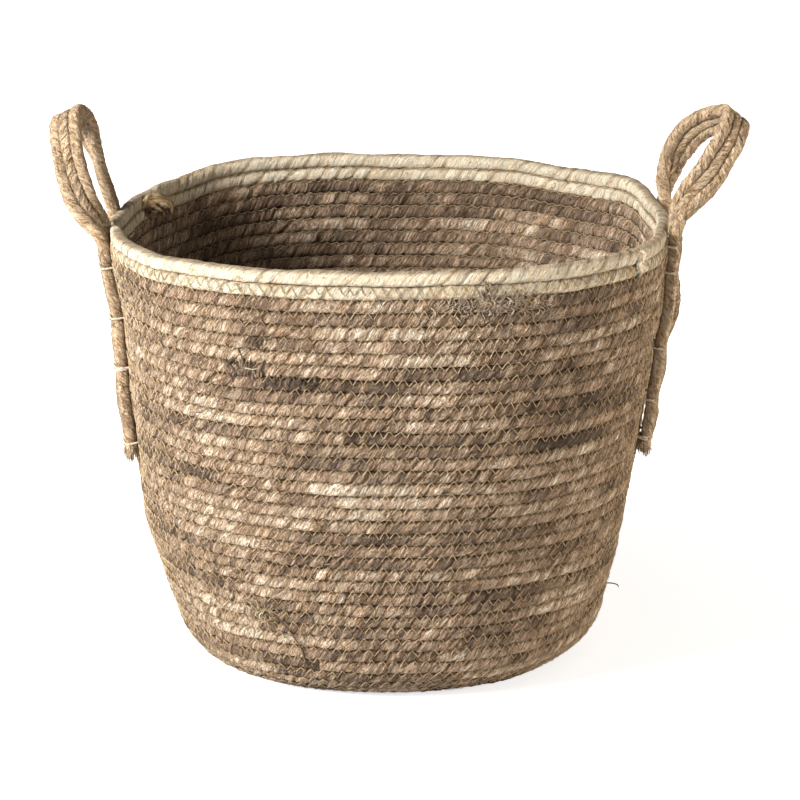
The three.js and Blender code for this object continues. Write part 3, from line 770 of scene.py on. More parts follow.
class BASKET_OT_sewing_thread(bpy.types.Operator):
    """Sews the rows together with a zigzag thread, outside and inside"""

    bl_idname = "basket.sewing_thread"
    bl_label = "Sewing thread"

    def execute(self, context):
        body = context.scene.basket_body
        thread = context.scene.basket_thread
        colours = context.scene.basket_colours
        plain = fibre_finish("sewing_thread", *shades(colours.thread, 0.6, 1, 1.3), 0.2 * MM)
        rim = fibre_finish("rim_thread", *shades(colours.thread, 0.5, 0.8, 1), 0.2 * MM)
        seam = body.pale_turn + 1
        sides, rim_drop = 3, 2.8 * MM
        stretches = [
            ("floor", 1.4, 15, plain), ("low", 15, 28, plain), ("high", 28, 39, plain),
            ("top", 39, seam, plain), ("rim", seam, body.rim_turn - 0.05, rim),
        ]
        for face, where in ((1, "outside"), (-1, "inside")):
            for seed, (part, first, last, material) in enumerate(stretches):
                drop = rim_drop if part == "rim" and face > 0 else 0
                path, guide, run = zigzag(body, thread, first, last, face, drop, 60 + seed + 10 * face)
                rings = tube(path, np.full(len(path), thread.radius), guide, sides)
                attributes = strand_attributes(run, thread.radius, sides, 0.15)
                basket_piece(f"thread_{where}_{part}", rings, attributes, material)
        return {"FINISHED"}


# The carrying loops

# Each leg: its side of the basket, front or back, how many steps of a turn it lies round from the left
# extreme, and the counted rows under which its ties lie.
LEGS = {
    "left_front": {"side": -1, "front": -1, "steps": 0.5, "rows": (3, 7, 11, 17)},
    "left_back": {"side": -1, "front": 1, "steps": 13.5, "rows": (2, 6, 10, 16)},
    "right_front": {"side": 1, "front": -1, "steps": 6.5, "rows": (1, 3, 9, 13, 16)},
    "right_back": {"side": 1, "front": 1, "steps": 7.5, "rows": (1, 3, 9, 13, 16)},
}

# By side, in millimetres: the bow of a strap between ties one row apart, and its slack all along.
BOW_MM = {-1: 0.05, 1: 0.15}
SLACK_MM = {-1: 0, 1: 1.5}

# Each row: share of the lean, share of the half spread, share of the height, share of a quarter twist.
ROUTE_SHARES = {
    "left": [
        (0, -1, 0.05, 0.04), (0.06, -1, 0.13, 0.2), (0.32, -0.98, 0.22, 0.42), (0.7, -0.93, 0.37, 0.72),
        (0.95, -0.83, 0.53, 0.9), (1.12, -0.7, 0.67, 1), (1.23, -0.53, 0.82, 1), (1.3, -0.32, 0.93, 1),
        (1.26, 0, 0.97, 1), (1.06, 0.32, 0.93, 0.85), (0.82, 0.53, 0.83, 0.6), (0.64, 0.7, 0.69, 0.32),
        (0.45, 0.83, 0.53, 0.14), (0.3, 0.93, 0.37, 0.05), (0.14, 0.99, 0.22, 0), (0.03, 1, 0.1, 0),
    ],
    "right": [
        (0.03, -1, 0.05, 0.06), (0.06, -0.99, 0.14, 0.2), (0.19, -0.97, 0.25, 0.4),
        (0.37, -0.92, 0.38, 0.66), (0.57, -0.83, 0.53, 0.88), (0.7, -0.71, 0.67, 1),
        (0.85, -0.55, 0.8, 1), (0.96, -0.32, 0.93, 1), (1, 0, 1, 1), (0.79, 0.32, 0.95, 1),
        (0.58, 0.54, 0.86, 1), (0.4, 0.7, 0.75, 0.95), (0.28, 0.82, 0.62, 0.85),
        (0.17, 0.91, 0.48, 0.72), (0.09, 0.96, 0.33, 0.52), (0.02, 0.99, 0.2, 0.34), (0, 1, 0.08, 0.12),
    ],
}


def side_legs(side_name):
    """The front and the back leg of a loop."""
    return LEGS[f"{side_name}_front"], LEGS[f"{side_name}_back"]


def leg_length(body, leg, row):
    """The length along the section of the gap under a counted row at a leg."""
    return body.row_pitch * (body.rim_turn - leg["steps"] / TURN_STEPS - row + 0.5)


def leg_azimuth(leg):
    """Where round the basket a leg lies."""
    return math.pi + leg["steps"] / TURN_STEPS * TAU


def leg_points(body, leg, length, across, outward):
    """Points at a leg: along the section, across the strap away from its partner, and out."""
    azimuth = leg_azimuth(leg)
    middle = wall_point(body, length, 0 * length, azimuth + 0 * length)
    radius = np.linalg.norm(middle[..., :2], axis=-1)
    toward = leg["side"] * leg["front"]
    return wall_point(body, length, outward, azimuth + toward * across / radius)


def strap_bow(body, leg, length):
    """How far a strap bows out between its ties: a power of a sine, times the square of their distance."""
    ties = leg_length(body, leg, np.array(leg["rows"]))[::-1]
    index = np.clip(np.searchsorted(ties, length), 1, len(ties) - 1)
    gap = ties[index] - ties[index - 1]
    share = np.clip((length - ties[index - 1]) / gap, 0, 1)
    size = BOW_MM[leg["side"]] * MM * (gap / body.row_pitch) ** 2
    return size * np.sin(share * math.pi) ** 1.5


def strap_course(body, handles, side_name):
    """The strap's middle line, the way it is wide and its bow, from the front tail up, over and down
    to the back tail: points on the wall, then the loop's route about its bend, then the wall again."""
    side = -1 if side_name == "left" else 1
    hinge = JOINTS[f"handle_{side_name}_swing"]["pos_m"]
    low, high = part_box(f"loop_{side_name}_middle")
    half_spread = (high.y - low.y) / 2 - handles.rope_radius
    height = getattr(handles, f"{side_name}_height")
    lean = getattr(handles, f"{side_name}_lean")
    tilt = getattr(handles, f"{side_name}_tilt")
    rows = []
    for leg in side_legs(side_name):
        top = leg_length(body, leg, leg["rows"][0]) + 3 * MM
        bottom = leg_length(body, leg, leg["rows"][-1]) - handles.tail + 6 * MM
        lengths = np.linspace(bottom, top, 24)
        bow = strap_bow(body, leg, lengths)
        outward = body.rope_width + handles.rope_radius + (0.2 + SLACK_MM[leg["side"]]) * MM + bow
        middle = leg_points(body, leg, lengths, 0 * lengths, outward)
        beside = leg_points(body, leg, lengths, 0 * lengths + MM, outward)
        rows.append(np.concatenate([middle, unit(beside - middle), bow[:, None]], axis=1))
    shares = np.array(ROUTE_SHARES[side_name])
    start = side * (rows[0][-1, 0] + rows[1][-1, 0]) / 2 - (side * hinge[0] - handles.rope_radius)
    risen = np.clip(shares[:, 2] * 2.5, 0, 1)
    offset = start * (1 - risen) + handles.outset * risen
    place = np.stack([
        hinge[0] + side * (offset - handles.rope_radius + shares[:, 0] * lean),
        shares[:, 1] * half_spread,
        hinge[2] + shares[:, 2] * height,
    ], axis=1)
    twist = shares[:, 3] * math.pi / 2
    across = np.where(np.arange(len(shares)) * 2 < len(shares), -1, 1)
    wide = np.stack([
        side * np.sin(twist) * math.cos(tilt), across * np.cos(twist), -np.sin(twist) * math.sin(tilt),
    ], axis=1)
    loop = np.concatenate([place, wide, np.zeros((len(wide), 1))], axis=1)
    return smooth_path(np.concatenate([rows[0], loop, rows[1][::-1]]), 1.1 * MM)


def tie_squeeze(body, side_name, path):
    """1 beside a tie of the strap and 0 away from it, for each point of a path."""
    squeeze = np.zeros(len(path))
    for leg in side_legs(side_name):
        lengths = leg_length(body, leg, np.array(leg["rows"]))
        ties = leg_points(body, leg, lengths, 0 * lengths, 0.009 + 0 * lengths)
        nearest = np.min(np.linalg.norm(path[:, None] - ties[None], axis=-1), axis=1)
        squeeze = np.maximum(squeeze, np.exp(-(nearest / (4 * MM)) ** 2))
    return squeeze


def jute_rope(body, handles, side_name, place, seed):
    """Rings of one jute rope: its path beside the strap's middle line, drawn in at the ties, and a
    three-lobed section, squared a little against its neighbours, whose lobes turn with the lay;
    neighbouring ropes are laid opposite ways."""
    rng = np.random.default_rng(seed)
    course = strap_course(body, handles, side_name)
    middle, wide, bow = course[:, :3], unit(course[:, 3:6]), course[:, 6]
    squeeze = tie_squeeze(body, side_name, middle)
    run = np.concatenate([[0], np.cumsum(np.linalg.norm(np.diff(middle, axis=0), axis=1))])
    shift = place * handles.rope_pitch * (1 - 0.1 * squeeze) + 0.35 * MM * value_noise(run, 30 * MM, rng)
    path = middle + wide * shift[:, None]
    thick = np.cross(unit(np.gradient(middle, axis=0)), wide)
    inward = np.sign(np.sum(thick * middle, axis=1)) * -abs(place) * 0.6 * bow
    path = path + thick * (0.4 * MM * value_noise(run, 25 * MM, rng) + inward)[:, None]
    sides = 24
    column = even_angles(sides)
    lobe = np.abs(np.sin(1.5 * column)) ** 0.7
    hand = 1 if place == 0 else -1
    twist = hand * (TAU * run / handles.lay_length + 0.5 * value_noise(run, 40 * MM, rng))
    folds = np.stack([value_noise(run, 3 * MM, rng) + value_noise(run, 8 * MM, rng) for _ in column], axis=1)
    profile = 0.93 + 0.04 * lobe + 0.05 * folds + 0.025 * rng.normal(size=folds.shape)
    angle = column + twist[:, None]
    profile = profile * (np.abs(np.cos(angle)) ** 3 + np.abs(np.sin(angle)) ** 3) ** (-1 / 3)
    radius = handles.rope_radius * (1 - 0.08 * squeeze + 0.04 * value_noise(run, 18 * MM, rng))
    rings = tube(path, radius, wide, sides, twist, profile)
    attributes = strand_attributes(run + 3 * place, handles.rope_radius, sides, 0.0)
    beside = np.cos(angle)
    beside = np.abs(beside) if place == 0 else -place * beside
    # Painted shade: darker between the lobes, where the ropes touch and beside the ties; lighter on raised
    # folds.
    painted_shade = 0.25 * (1 - lobe) + 0.25 * smooth_step(0.7, 1, beside) + 0.3 * squeeze[:, None]
    attributes["painted_shade_and_tone"] = np.clip(painted_shade - 0.4 * folds, -0.2, 1)
    return rings, attributes, path


def bent_piece(name, tubes, attributes, material, nodes=()):
    """A piece of tubes whose place is baked into its mesh, and which takes the place of some nodes."""
    made = tube_mesh(name, tubes, attributes, material)
    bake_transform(made)
    if nodes:
        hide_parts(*nodes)


def matted_hairs(rings, path, count, rng):
    """Fine hairs that lie on a rope: each runs along it from ring to ring with a slant of its own, and
    is lifted most at its middle."""
    points, rings_apart = 7, 2
    steps = np.arange(points)
    sides = rings.shape[1]
    place = rng.integers(0, len(path) - points * rings_apart, count)[:, None] + rings_apart * steps
    column = rng.uniform(0, sides, count)[:, None] + rng.normal(0, 1.1, count)[:, None] * steps
    column = column + np.cumsum(rng.normal(0, 0.5, (count, points)), axis=1)
    low = np.floor(column).astype(int)
    share = (column - low)[..., None]
    at = rings[place, low % sides] * (1 - share) + rings[place, (low + 1) % sides] * share
    away = unit(at - path[place])
    lift = rng.uniform(0.05, 0.5, count)[:, None] * MM * np.sin((steps + 0.3) / 6.6 * math.pi)
    return at + away * lift[..., None], away


def loose_hairs(path, count, reach, longest, rng):
    """Fine hairs that leave a rope: each starts on its surface and bows away along it."""
    tangent = unit(np.gradient(path, axis=0))
    index = rng.integers(2, len(path) - 2, count)
    away = rng.normal(size=(count, 3))
    away = unit(away - tangent[index] * np.sum(away * tangent[index], axis=1, keepdims=True))
    size = rng.uniform(0.35, 1, count)[:, None, None] * longest
    sweep = tangent[index] * rng.choice([-1, 1], count)[:, None] + 0.5 * rng.normal(size=(count, 3))
    share = np.linspace(0, 1, 5)[None, :, None]
    start = (path[index] + away * reach * 0.9)[:, None]
    rise = rng.uniform(0.1, 0.55, count)[:, None, None]
    curl = rng.normal(size=(count, 1, 3)) * 0.3
    hairs = start + size * (away[:, None] * share * rise + sweep[:, None] * share * 0.7 + curl * share ** 2)
    return hairs, np.repeat(away[:, None], 5, axis=1)


class BASKET_OT_handles(bpy.types.Operator):
    """Lays the three jute ropes of each carrying loop, with their frayed tails and their hairs"""

    bl_idname = "basket.handles"
    bl_label = "Carrying loops"

    def execute(self, context):
        body = context.scene.basket_body
        handles = context.scene.basket_handles
        colours = context.scene.basket_colours
        for seed, side_name in enumerate(("left", "right")):
            rng = np.random.default_rng(90 + seed)
            # Painted light: the right loop's jute is made lighter and the left loop's darker.
            shade = getattr(colours, f"{side_name}_shade")
            stops = (colours.jute_dark, colours.jute_middle, colours.jute_light)
            jute = fibre_finish(f"jute_{side_name}", *(shades(stop, shade)[0] for stop in stops), 0.8 * MM)
            loose, matted = [], []
            for name, place in PLACES.items():
                own_seed = 70 + seed * 5 + place
                rings, attributes, path = jute_rope(body, handles, side_name, place, own_seed)
                legs = [f"strap_{side_name}_{end}_{name}" for end in ("front", "back")]
                nodes = [*legs, f"loop_{side_name}_{name}"]
                bent_piece(f"rope_{side_name}_{name}", rings, attributes, jute, nodes)
                loose.append(loose_hairs(path, handles.loose_hairs, handles.rope_radius, 5 * MM, rng))
                matted.append(matted_hairs(rings, path, handles.matted_hairs, rng))
            for name, found, widths in (("hairs", loose, (0.09, 0.04)), ("mat", matted, (0.28, 0.18))):
                self.hairs(f"{name}_{side_name}", found, widths, jute, side_name, rng)
            self.fray(body, handles, side_name, jute, rng)
        return {"FINISHED"}

    def hairs(self, name, found, widths, material, side_name, rng):
        """One piece of many hairs, each with a place of its own in the fibre's noise; the widths are those
        of both ends, in millimetres."""
        paths, guides = (np.concatenate(part) for part in zip(*found))
        width = np.linspace(*widths, paths.shape[1]) * MM + np.zeros(paths.shape[:2])
        run = rng.uniform(0, 3, len(paths))[:, None] + np.linspace(0, 0.01, paths.shape[1])
        sides = 3
        attributes = strand_attributes(run, MM, sides, 0.0)
        attributes["painted_shade_and_tone"] += rng.uniform(-0.5, 0.6, len(paths))[:, None, None]
        bent_piece(name, tube(paths, width, guides, sides), attributes, material)

    def fray(self, body, handles, side_name, material, rng):
        """The tails: each rope end opens into fibres that spread as they run down the wall."""
        for end in ("front", "back"):
            leg = LEGS[f"{side_name}_{end}"]
            count = handles.tail_fibres
            points, sides = 6, 4
            share = np.linspace(0, 1, points)[None]
            place = rng.integers(-1, 2, count)[:, None]
            angle = rng.uniform(0, TAU, count)[:, None]
            reach = np.sqrt(rng.uniform(0, 1, count))[:, None] * handles.rope_radius * 0.9
            size = rng.uniform(0.6, 1.0, count)[:, None] * handles.tail * 1.05
            bottom = leg_length(body, leg, leg["rows"][-1]) - handles.tail + 9 * MM
            spread = 1 + share ** 1.5 * rng.uniform(0.1, 1.0, count)[:, None]
            wave = 0.5 * MM * np.sin(share * 5 + angle * 3)
            across = place * handles.rope_pitch * (1 + 0.18 * share) + reach * np.cos(angle) * spread + wave
            outward = body.rope_width + handles.rope_radius + reach * np.sin(angle) * spread + MM * share
            length = bottom - size * share
            path = leg_points(body, leg, length, across, np.maximum(outward, body.rope_width + 0.4 * MM))
            guide = np.broadcast_to(np.array([leg["side"], 0.0, 0.0]), path.shape)
            width = np.linspace(0.42, 0.2, points) * MM + np.zeros(path.shape[:2])
            run = path[..., 2] + rng.uniform(0, 3, count)[:, None]
            attributes = strand_attributes(run, MM, sides, 0.05)
            rings = tube(path, width, guide, sides)
            basket_piece(f"tail_{side_name}_{end}", rings, attributes, material)


# The twine ties

def tie_path(body, handles, leg, row, wraps):
    """Twine wound round the strap and through the wall: a squared loop with a slow rise."""
    angle = np.linspace(0, TAU * wraps, int(56 * wraps))
    half_width = handles.rope_pitch * 0.92 + handles.rope_radius + handles.twine_radius * 0.7
    outside = body.rope_width + 2 * handles.rope_radius + handles.twine_radius * 0.6
    inside = -0.86 * body.rope_width
    power = 3.6
    across = half_width * power_wave(np.sin(angle), power)
    out = (outside + inside) / 2 + (outside - inside) / 2 * power_wave(np.cos(angle), power)
    rise = handles.twine_radius * 1.7 * (angle / TAU - wraps / 2)
    length = leg_length(body, leg, row) - handles.twine_radius * 1.2
    rise_share = np.clip((out - body.rope_width) / handles.rope_radius, 0, 1)
    path = leg_points(body, leg, length + rise * rise_share, across, out)
    centre = leg_points(body, leg, length + 0 * angle, 0 * angle, 0 * angle + (outside + inside) / 2)
    return path, path - centre


def knot_path(size):
    """A trefoil: a ring wound twice round and three times through."""
    angle = np.linspace(0, TAU, 73)[:-1]
    around = 2 + np.cos(3 * angle)
    ring = [around * np.cos(2 * angle), around * np.sin(2 * angle), np.sin(3 * angle)]
    return size / 3 * np.stack(ring, axis=1)


class BASKET_OT_ties(bpy.types.Operator):
    """Ties the straps to the wall with twine, each tie with its knot"""

    bl_idname = "basket.ties"
    bl_label = "Twine ties"

    def execute(self, context):
        body = context.scene.basket_body
        handles = context.scene.basket_handles
        colours = context.scene.basket_colours
        material = fibre_finish("twine", *shades(colours.twine, 0.6, 1, 1.2), 0.4 * MM)
        rng = np.random.default_rng(41)
        radius = handles.twine_radius
        for leg_name, leg in LEGS.items():
            for number, row in enumerate(leg["rows"]):
                wraps = 2 if rng.uniform() < 0.6 else 1
                path, guide = tie_path(body, handles, leg, row, wraps)
                run = np.linspace(0, 0.07 * wraps, len(path))
                sides, lay = 8, 7 * MM
                profile = 0.8 + 0.2 * np.abs(np.sin(even_angles(sides)))
                rings = tube(path, np.full(len(path), radius), guide, sides, TAU * run / lay, profile)
                attributes = strand_attributes(run, radius, sides, 0.1)
                place = f"{leg_name}_{number + 1}"
                basket_piece(f"twine_{place}", rings, attributes, material, [f"tie_{place}"])
                self.knot(body, handles, leg, row, f"knot_{place}", material, rng)
        return {"FINISHED"}

    def knot(self, body, handles, leg, row, name, material, rng):
        """The knot lies on the outer side of the strap."""
        radius = handles.twine_radius * 0.85
        length = leg_length(body, leg, row) - radius
        across = rng.uniform(-0.8, 0.8) * handles.rope_pitch
        outside = body.rope_width + 2 * handles.rope_radius + radius
        twice = np.ones(2)
        spot, further = leg_points(body, leg, length * twice, across * twice, outside + np.array([0, MM]))
        out = unit(further - spot)
        up = np.array([0, 0, 1.0])
        sideways = unit(np.cross(up, out))
        axes = np.stack([sideways, np.cross(out, sideways), out])
        shape = knot_path(rng.uniform(2.0, 2.7) * MM)
        path = spot + shape @ axes
        closed = np.concatenate([path, path[:2]])
        guide = np.broadcast_to(out, closed.shape) + 0.1 * sideways
        sides = 6
        rings = tube(closed, np.full(len(closed), radius), guide, sides)
        attributes = strand_attributes(np.linspace(0, 0.03, len(closed)), radius, sides, 0.1)
        basket_piece(name, rings, attributes, material)


# Loose leaf

class BASKET_OT_loose_leaf(bpy.types.Operator):
    """Lifts slivers of leaf off the rope, along its lay"""

    bl_idname = "basket.loose_leaf"
    bl_label = "Loose leaf"

    def execute(self, context):
        body = context.scene.basket_body
        brown, pale = bpy.data.materials["brown_leaf"], bpy.data.materials["pale_leaf"]
        self.slivers(body, "slivers_outside", 16, body.pale_turn - 0.6, 1, 900, brown, 31)
        self.slivers(body, "slivers_inside", 19, body.pale_turn - 0.6, -1, 300, brown, 32)
        self.slivers(body, "slivers_rim", body.pale_turn + 0.1, body.rim_turn - 0.1, 1, 60, pale, 33)
        return {"FINISHED"}

    def slivers(self, body, name, first, last, face, count, material, seed):
        """Each sliver starts on the rope, follows the lay and lifts off towards its tip."""
        rng = np.random.default_rng(seed)
        turn = np.sqrt(rng.uniform(first ** 2, last ** 2, count))[:, None]
        share = np.linspace(0, 1, 6)[None]
        size = rng.uniform(3, 11, count)[:, None] * MM
        slope = rng.normal(0.85, 0.35, count)[:, None]
        start = rng.uniform(-0.75, 0.35, count)[:, None] * body.rope_height
        up = start + size * share * np.sin(slope) * 0.8
        radius = wall_section(body, turn * body.row_pitch)[0]
        shift = size * share * np.cos(slope) / (radius * TAU)
        lift = rng.uniform(0.1, 2.4, count)[:, None] * MM * share ** 2 - 0.3 * MM * (1 - share)
        crown = 1 - np.abs(np.clip(up / body.rope_height, -1, 1)) ** ROPE_POWER
        surface = body.rope_width * np.clip(crown, 0.2, 1) ** 0.37
        out = face * (surface + lift)
        azimuth = turn_azimuth(body, turn - face * shift)
        path = wall_point(body, turn * body.row_pitch + up, out, azimuth)
        outward = wall_point(body, turn * body.row_pitch + up, out + face * MM, azimuth) - path
        width = rng.uniform(0.15, 0.5, count)[:, None] * MM * np.sqrt(1.02 - share ** 2)
        profile = np.array([0.25, 1.0, 0.25, 1.0])
        rings = tube(path, width, outward, len(profile), 0.0, profile)
        attributes = strand_attributes(turn + size * share, MM, len(profile), 0.0)
        tint = np.clip(rng.normal(0.5, 0.2, count), 0.1, 1)[:, None, None]
        attributes["tint"] = tint + np.zeros(rings.shape[:3])
        basket_piece(name, rings, attributes, material)


# Knots and frays

# Patches of loose strands: name, turn, azimuth in degrees, half width and half height of the patch,
# strands, their longest length, their curl and the half width of the broadest in millimetres, their
# slant in degrees, their tint or 0 for the tan of the pale leaf, and 1 outside or -1 inside.
TANGLES = (
    ("fray_under_rim", 46.1, -68, 30, 7, 200, 10, 5, 0.9, 40, 0.9, 1),
    ("fray_peak", 46.5, -70.5, 5, 7, 40, 11, 7, 1, 75, 0.55, 1),
    ("curls_under_rim", 46.15, -62.5, 5, 4.5, 30, 16, 2.4, 0.6, 20, 0, 1),
    ("fray_left_of_it", 46.2, -79, 9, 4, 30, 9, 5, 0.7, 30, 0.95, 1),
    ("dark_knot", 40.7, -119.5, 10, 10, 70, 16, 16, 1.4, 84, 0.16, 1),
    ("dark_knot_row", 40.3, -111, 20, 2.5, 56, 8, 14, 1.1, 65, 0.16, 1),
    ("dark_splinters", 43.1, -116, 7, 3, 22, 9, 12, 0.7, 65, 0.22, 1),
    ("foot_knot", 21.4, -121, 10, 6, 70, 14, 3, 0.7, 10, 0, 1),
    ("tuft_inside", 47.2, 154.5, 6, 3, 40, 16, 9, 0.6, 200, 0, -1),
)


def local_points(body, turn, azimuth, across, up, out):
    """Points near a place on the body, by distances across, up the wall and out of its middle line."""
    length = turn * body.row_pitch + up
    radius = wall_section(body, length)[0]
    return wall_point(body, length, out, math.radians(azimuth) + across / radius)


def leaf_strands(body, name, turn, azimuth, course, width, profile, tint, material):
    """One piece of strands whose courses (count, points, 3) are distances across, up and out."""
    across, up, out = np.moveaxis(course, -1, 0)
    path = local_points(body, turn, azimuth, across, up, out)
    outward = local_points(body, turn, azimuth, across, up, out + MM) - path
    rings = tube(path, width, outward, len(profile), 0.0, profile)
    run = np.arange(course.shape[0])[:, None] * 0.037 + np.linspace(0, 0.01, course.shape[1])
    attributes = strand_attributes(run, MM, len(profile), 0.0)
    attributes["tint"] = np.zeros(rings.shape[:3]) + np.reshape(tint, (-1, 1, 1))
    basket_piece(name, rings, attributes, material)


def flat_profile(sides, thinness):
    """The radii of an ellipse that is thin where it faces outwards."""
    angle = even_angles(sides)
    return 1 / np.sqrt((np.cos(angle) / thinness) ** 2 + np.sin(angle) ** 2)


class BASKET_OT_tangles(bpy.types.Operator):
    """Adds the knots, frays, stray strands and leaf wraps of this basket"""

    bl_idname = "basket.tangles"
    bl_label = "Knots and frays"

    def execute(self, context):
        body = context.scene.basket_body
        brown, pale = bpy.data.materials["brown_leaf"], bpy.data.materials["pale_leaf"]
        for seed, row in enumerate(TANGLES):
            self.tangle(body, row, brown if row[-2] else pale, 200 + seed)
        self.strays(body, brown, pale)
        self.wraps(body, pale)
        return {"FINISHED"}

    def tangle(self, body, row, material, seed):
        """Strands that start inside an ellipse, and whose heading turns evenly along their length."""
        name, turn, azimuth, half_width, half_height, count, longest, curl, broadest, slant, tint, face = row
        rng = np.random.default_rng(seed)
        points = 10
        share = np.linspace(0, 1, points)[None]
        size = rng.uniform(0.35, 1, count)[:, None] * longest * MM
        heading = math.radians(slant) + rng.normal(0, 4 / curl, count)[:, None]
        angle = heading + rng.normal(0, 1, count)[:, None] * size / (curl * MM) * share
        start = rng.normal(0, 0.5 * MM, (2, count, 1)) * np.reshape([half_width, half_height], (2, 1, 1))
        across = start[0] + np.cumsum(np.cos(angle), axis=1) * size / points
        up = start[1] + np.cumsum(np.sin(angle), axis=1) * size / points
        lift = rng.uniform(0, 1, count)[:, None] ** 2 * (0.6 + 4 / curl if face > 0 else 9) * MM
        out = face * (0.93 * body.rope_width + lift * (0.25 + np.sin(share * math.pi)))
        width = rng.uniform(0.3, 1, count)[:, None] * broadest * MM * np.sqrt(1.04 - share ** 4)
        tints = np.clip(rng.normal(tint, 0.14, count), 0, 1)
        course = np.stack([across, up, out], axis=-1)
        leaf_strands(body, name, turn, azimuth, course, width, flat_profile(6, 0.45), tints, material)

    def strays(self, body, brown, pale):
        """A long strand that hangs from the foot's knot, a twig at the right and a straw at the left."""
        rows = {
            "stray_foot": (21.4, -121, brown, 0.55, 0.3, [
                (8, 3, 5.4), (12, 0, 6.2), (17, -7, 5.6), (21, -15, 5.3), (25, -26, 5.2), (26, -37, 5.0),
            ]),
            "stray_twig": (20.03, -14, brown, 0.5, 0.0, [
                (-2, 0, 3.5), (0, 0.4, 6.5), (2, 0.2, 10), (3, -0.5, 12.5), (3.2, -1.8, 13.4),
            ]),
            "stray_straw": (41.32, -117.5, pale, 0.5, 0.6, [
                (-5, 1.5, 4.6), (-2, 1.8, 5.6), (1, 1.4, 5.8), (4, 1.9, 5.5), (6, 2.2, 4.6),
            ]),
        }
        for name, (turn, azimuth, material, radius, tint, points) in rows.items():
            course = smooth_path(np.array(points) * MM, 1.2 * MM)[None]
            width = np.full(course.shape[:2], radius * MM)
            leaf_strands(body, name, turn, azimuth, course, width, flat_profile(6, 0.7), tint, material)

    def wraps(self, body, pale):
        """Flat pale leaves: one over both pale rows by the right loop, one over the rope's end at the left,
        and two that stick out inside; each row is a place, a width, and points across, up and out."""
        hug = np.array([
            (4.4, 3.5), (2.7, 4.8), (0, 5.2), (-3.2, 5), (-4.8, 4.6), (-6.4, 5), (-9.4, 5.2), (-12.5, 4.7),
            (-13.8, 3.4),
        ])
        tuft = np.array([(2, -4), (5, -9), (4, -15), (-1, -20), (-9, -19)])
        rows = {
            "wrap_right": (48.1, -34.5, 8, 0.35, np.linspace(-3, 3, 9), hug),
            "wrap_left": (48.4, 181, 4.4, 0.45, np.linspace(-1, 1, 6), hug[:6]),
            "tuft_upper": (47.3, 154.5, 5, 0.02, np.linspace(7, -13, 5), tuft),
            "tuft_lower": (47, 155.5, 4, 0.0, np.linspace(5, -11, 5), tuft * 0.8),
        }
        for name, (turn, azimuth, half_width, tint, across, points) in rows.items():
            course = smooth_path(np.column_stack([across, points]) * MM, 1.2 * MM)[None]
            share = np.linspace(-1, 1, course.shape[1])[None]
            width = half_width * MM * (1 - 0.8 * share ** 4)
            leaf_strands(body, name, turn, azimuth, course, width, flat_profile(12, 0.09), tint, pale)


# The stage

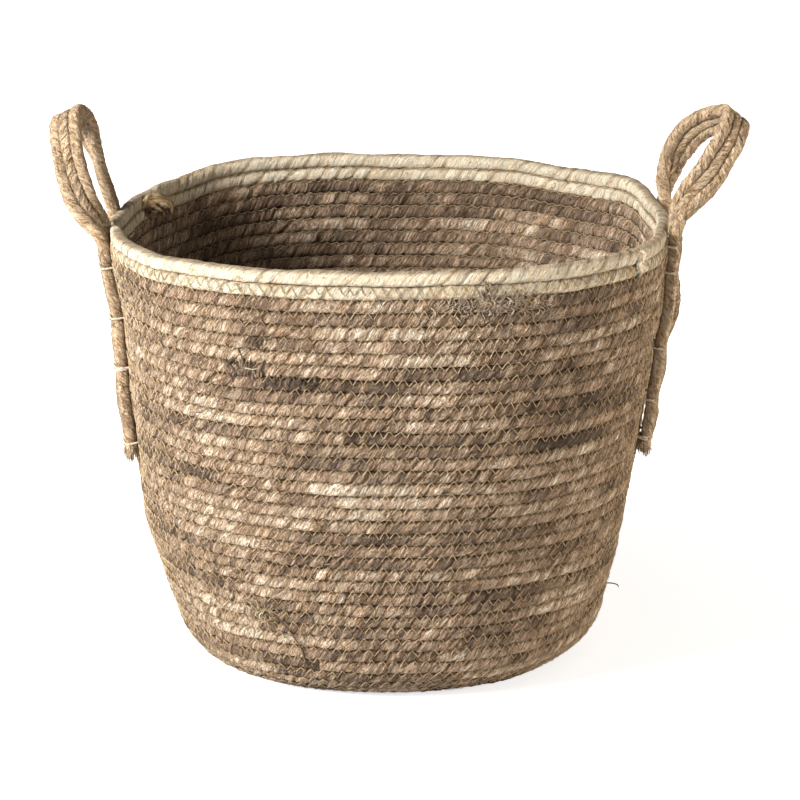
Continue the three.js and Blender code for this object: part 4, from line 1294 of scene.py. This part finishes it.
class BASKET_OT_stage(bpy.types.Operator):
    """Sets the floor, the light and the camera"""

    bl_idname = "basket.stage"
    bl_label = "Stage"

    def execute(self, context):
        self.floor(context.scene)
        self.world(context.scene)
        self.lamp("key", (-2.45, -1.45, 1.6), 1.2, 268, (1, 1, 1))
        self.lamp("fill", (2.4, -0.15, 0.3), 0.9, 56, (1, 0.88, 0.72))
        self.camera(context.scene)
        return {"FINISHED"}

    def floor(self, scene):
        """A wide square that shows white and keeps the basket's shadow."""
        size = 12.0
        mesh = bpy.data.meshes.new("floor")
        corners = [(-size, -size, 0), (size, -size, 0), (size, size, 0), (-size, size, 0)]
        mesh.from_pydata(corners, [], [(0, 1, 2, 3)])
        shader = Shader("floor_white")
        shader.surface.inputs["Base Color"].default_value = (0.86, 0.86, 0.86, 1)
        shader.surface.inputs["Roughness"].default_value = 0.9
        shader.surface.inputs["Specular IOR Level"].default_value = 0.0
        seen = shader.add("ShaderNodeLightPath").outputs["Is Camera Ray"]
        place = shader.add("ShaderNodeTexCoord").outputs["Object"]
        away = shader.add("ShaderNodeVectorMath", {0: place}, operation="LENGTH").outputs["Value"]
        glow = shader.math("MULTIPLY", seen, shader.spread(away, 0.72, 1.0, 0.25, 1.1))
        shader.surface.inputs["Emission Color"].default_value = (1, 1, 1, 1)
        shader.tree.links.new(glow, shader.surface.inputs["Emission Strength"])
        mesh.materials.append(shader.material)
        made = bpy.data.objects.new("floor", mesh)
        scene.collection.objects.link(made)

    def world(self, scene):
        """An even soft light, which the camera sees as white."""
        world = bpy.data.worlds.new("soft_white")
        world.use_nodes = True
        tree = world.node_tree
        background = tree.nodes["Background"]
        background.inputs["Color"].default_value = (1, 1, 1, 1)
        path = tree.nodes.new("ShaderNodeLightPath")
        seen = tree.nodes.new("ShaderNodeMath")
        seen.operation = "MAXIMUM"
        tree.links.new(path.outputs["Is Camera Ray"], seen.inputs[0])
        tree.links.new(path.outputs["Is Glossy Ray"], seen.inputs[1])
        strength = tree.nodes.new("ShaderNodeMapRange")
        strength.inputs["To Min"].default_value = 0.2
        strength.inputs["To Max"].default_value = 1.0
        tree.links.new(seen.outputs[0], strength.inputs["Value"])
        tree.links.new(strength.outputs[0], background.inputs["Strength"])
        scene.world = world

    def lamp(self, name, place, size, power, colour):
        """A square soft lamp that faces the basket's middle."""
        light = bpy.data.lights.new(name, "AREA")
        light.shape = "SQUARE"
        light.size = size
        light.energy = power
        light.color = colour
        made = bpy.data.objects.new(name, light)
        made.location = place
        made.rotation_euler = (Vector((0, 0, 0.2)) - Vector(place)).to_track_quat("-Z", "Y").to_euler()
        bpy.context.scene.collection.objects.link(made)

    def camera(self, scene):
        """A long lens a little above the rim, looking down at the front of the basket."""
        camera = bpy.data.cameras.new("camera")
        camera.lens = 153.3
        camera.sensor_width = 36
        camera.shift_x = 0.0165
        camera.shift_y = -0.0045
        camera.clip_end = 50
        made = bpy.data.objects.new("camera", camera)
        distance, height, tilt = 2.4, 0.8403, 0.267
        made.location = (0, -distance, height)
        made.rotation_euler = (math.pi / 2 - tilt, 0, 0)
        scene.collection.objects.link(made)
        scene.camera = made
        scene.view_settings.view_transform = "Standard"


class BASKET_PT_panel(bpy.types.Panel):
    """Lists the steps that dress the basket"""

    bl_idname = "BASKET_PT_panel"
    bl_label = "Basket"
    bl_space_type = "VIEW_3D"
    bl_region_type = "UI"
    bl_category = "Basket"

    def draw(self, context):
        for name in GROUPS:
            group = getattr(context.scene, name)
            box = self.layout.box()
            for key in group.bl_rna.properties.keys():
                if key not in ("rna_type", "name"):
                    box.prop(group, key)
        for step in STEPS:
            self.layout.operator(step.bl_idname)


GROUPS = {
    "basket_body": BasketBody,
    "basket_thread": BasketThread,
    "basket_handles": BasketHandles,
    "basket_colours": BasketColours,
}
STEPS = (
    BASKET_OT_body_rope,
    BASKET_OT_sewing_thread,
    BASKET_OT_handles,
    BASKET_OT_ties,
    BASKET_OT_loose_leaf,
    BASKET_OT_tangles,
    BASKET_OT_stage,
)


def register():
    """Adds the settings, the steps and the panel."""
    for cls in (*GROUPS.values(), *STEPS, BASKET_PT_panel):
        bpy.utils.register_class(cls)
    for name, group in GROUPS.items():
        setattr(bpy.types.Scene, name, PointerProperty(type=group))


def unregister():
    """Takes away what register added."""
    for name in GROUPS:
        delattr(bpy.types.Scene, name)
    for cls in reversed((*GROUPS.values(), *STEPS, BASKET_PT_panel)):
        bpy.utils.unregister_class(cls)


def main():
    """Registers the add-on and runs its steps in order."""
    register()
    bpy.ops.basket.body_rope()
    bpy.ops.basket.sewing_thread()
    bpy.ops.basket.handles()
    bpy.ops.basket.ties()
    bpy.ops.basket.loose_leaf()
    bpy.ops.basket.tangles()
    bpy.ops.basket.stage()


if __name__ == "__main__":
    main()
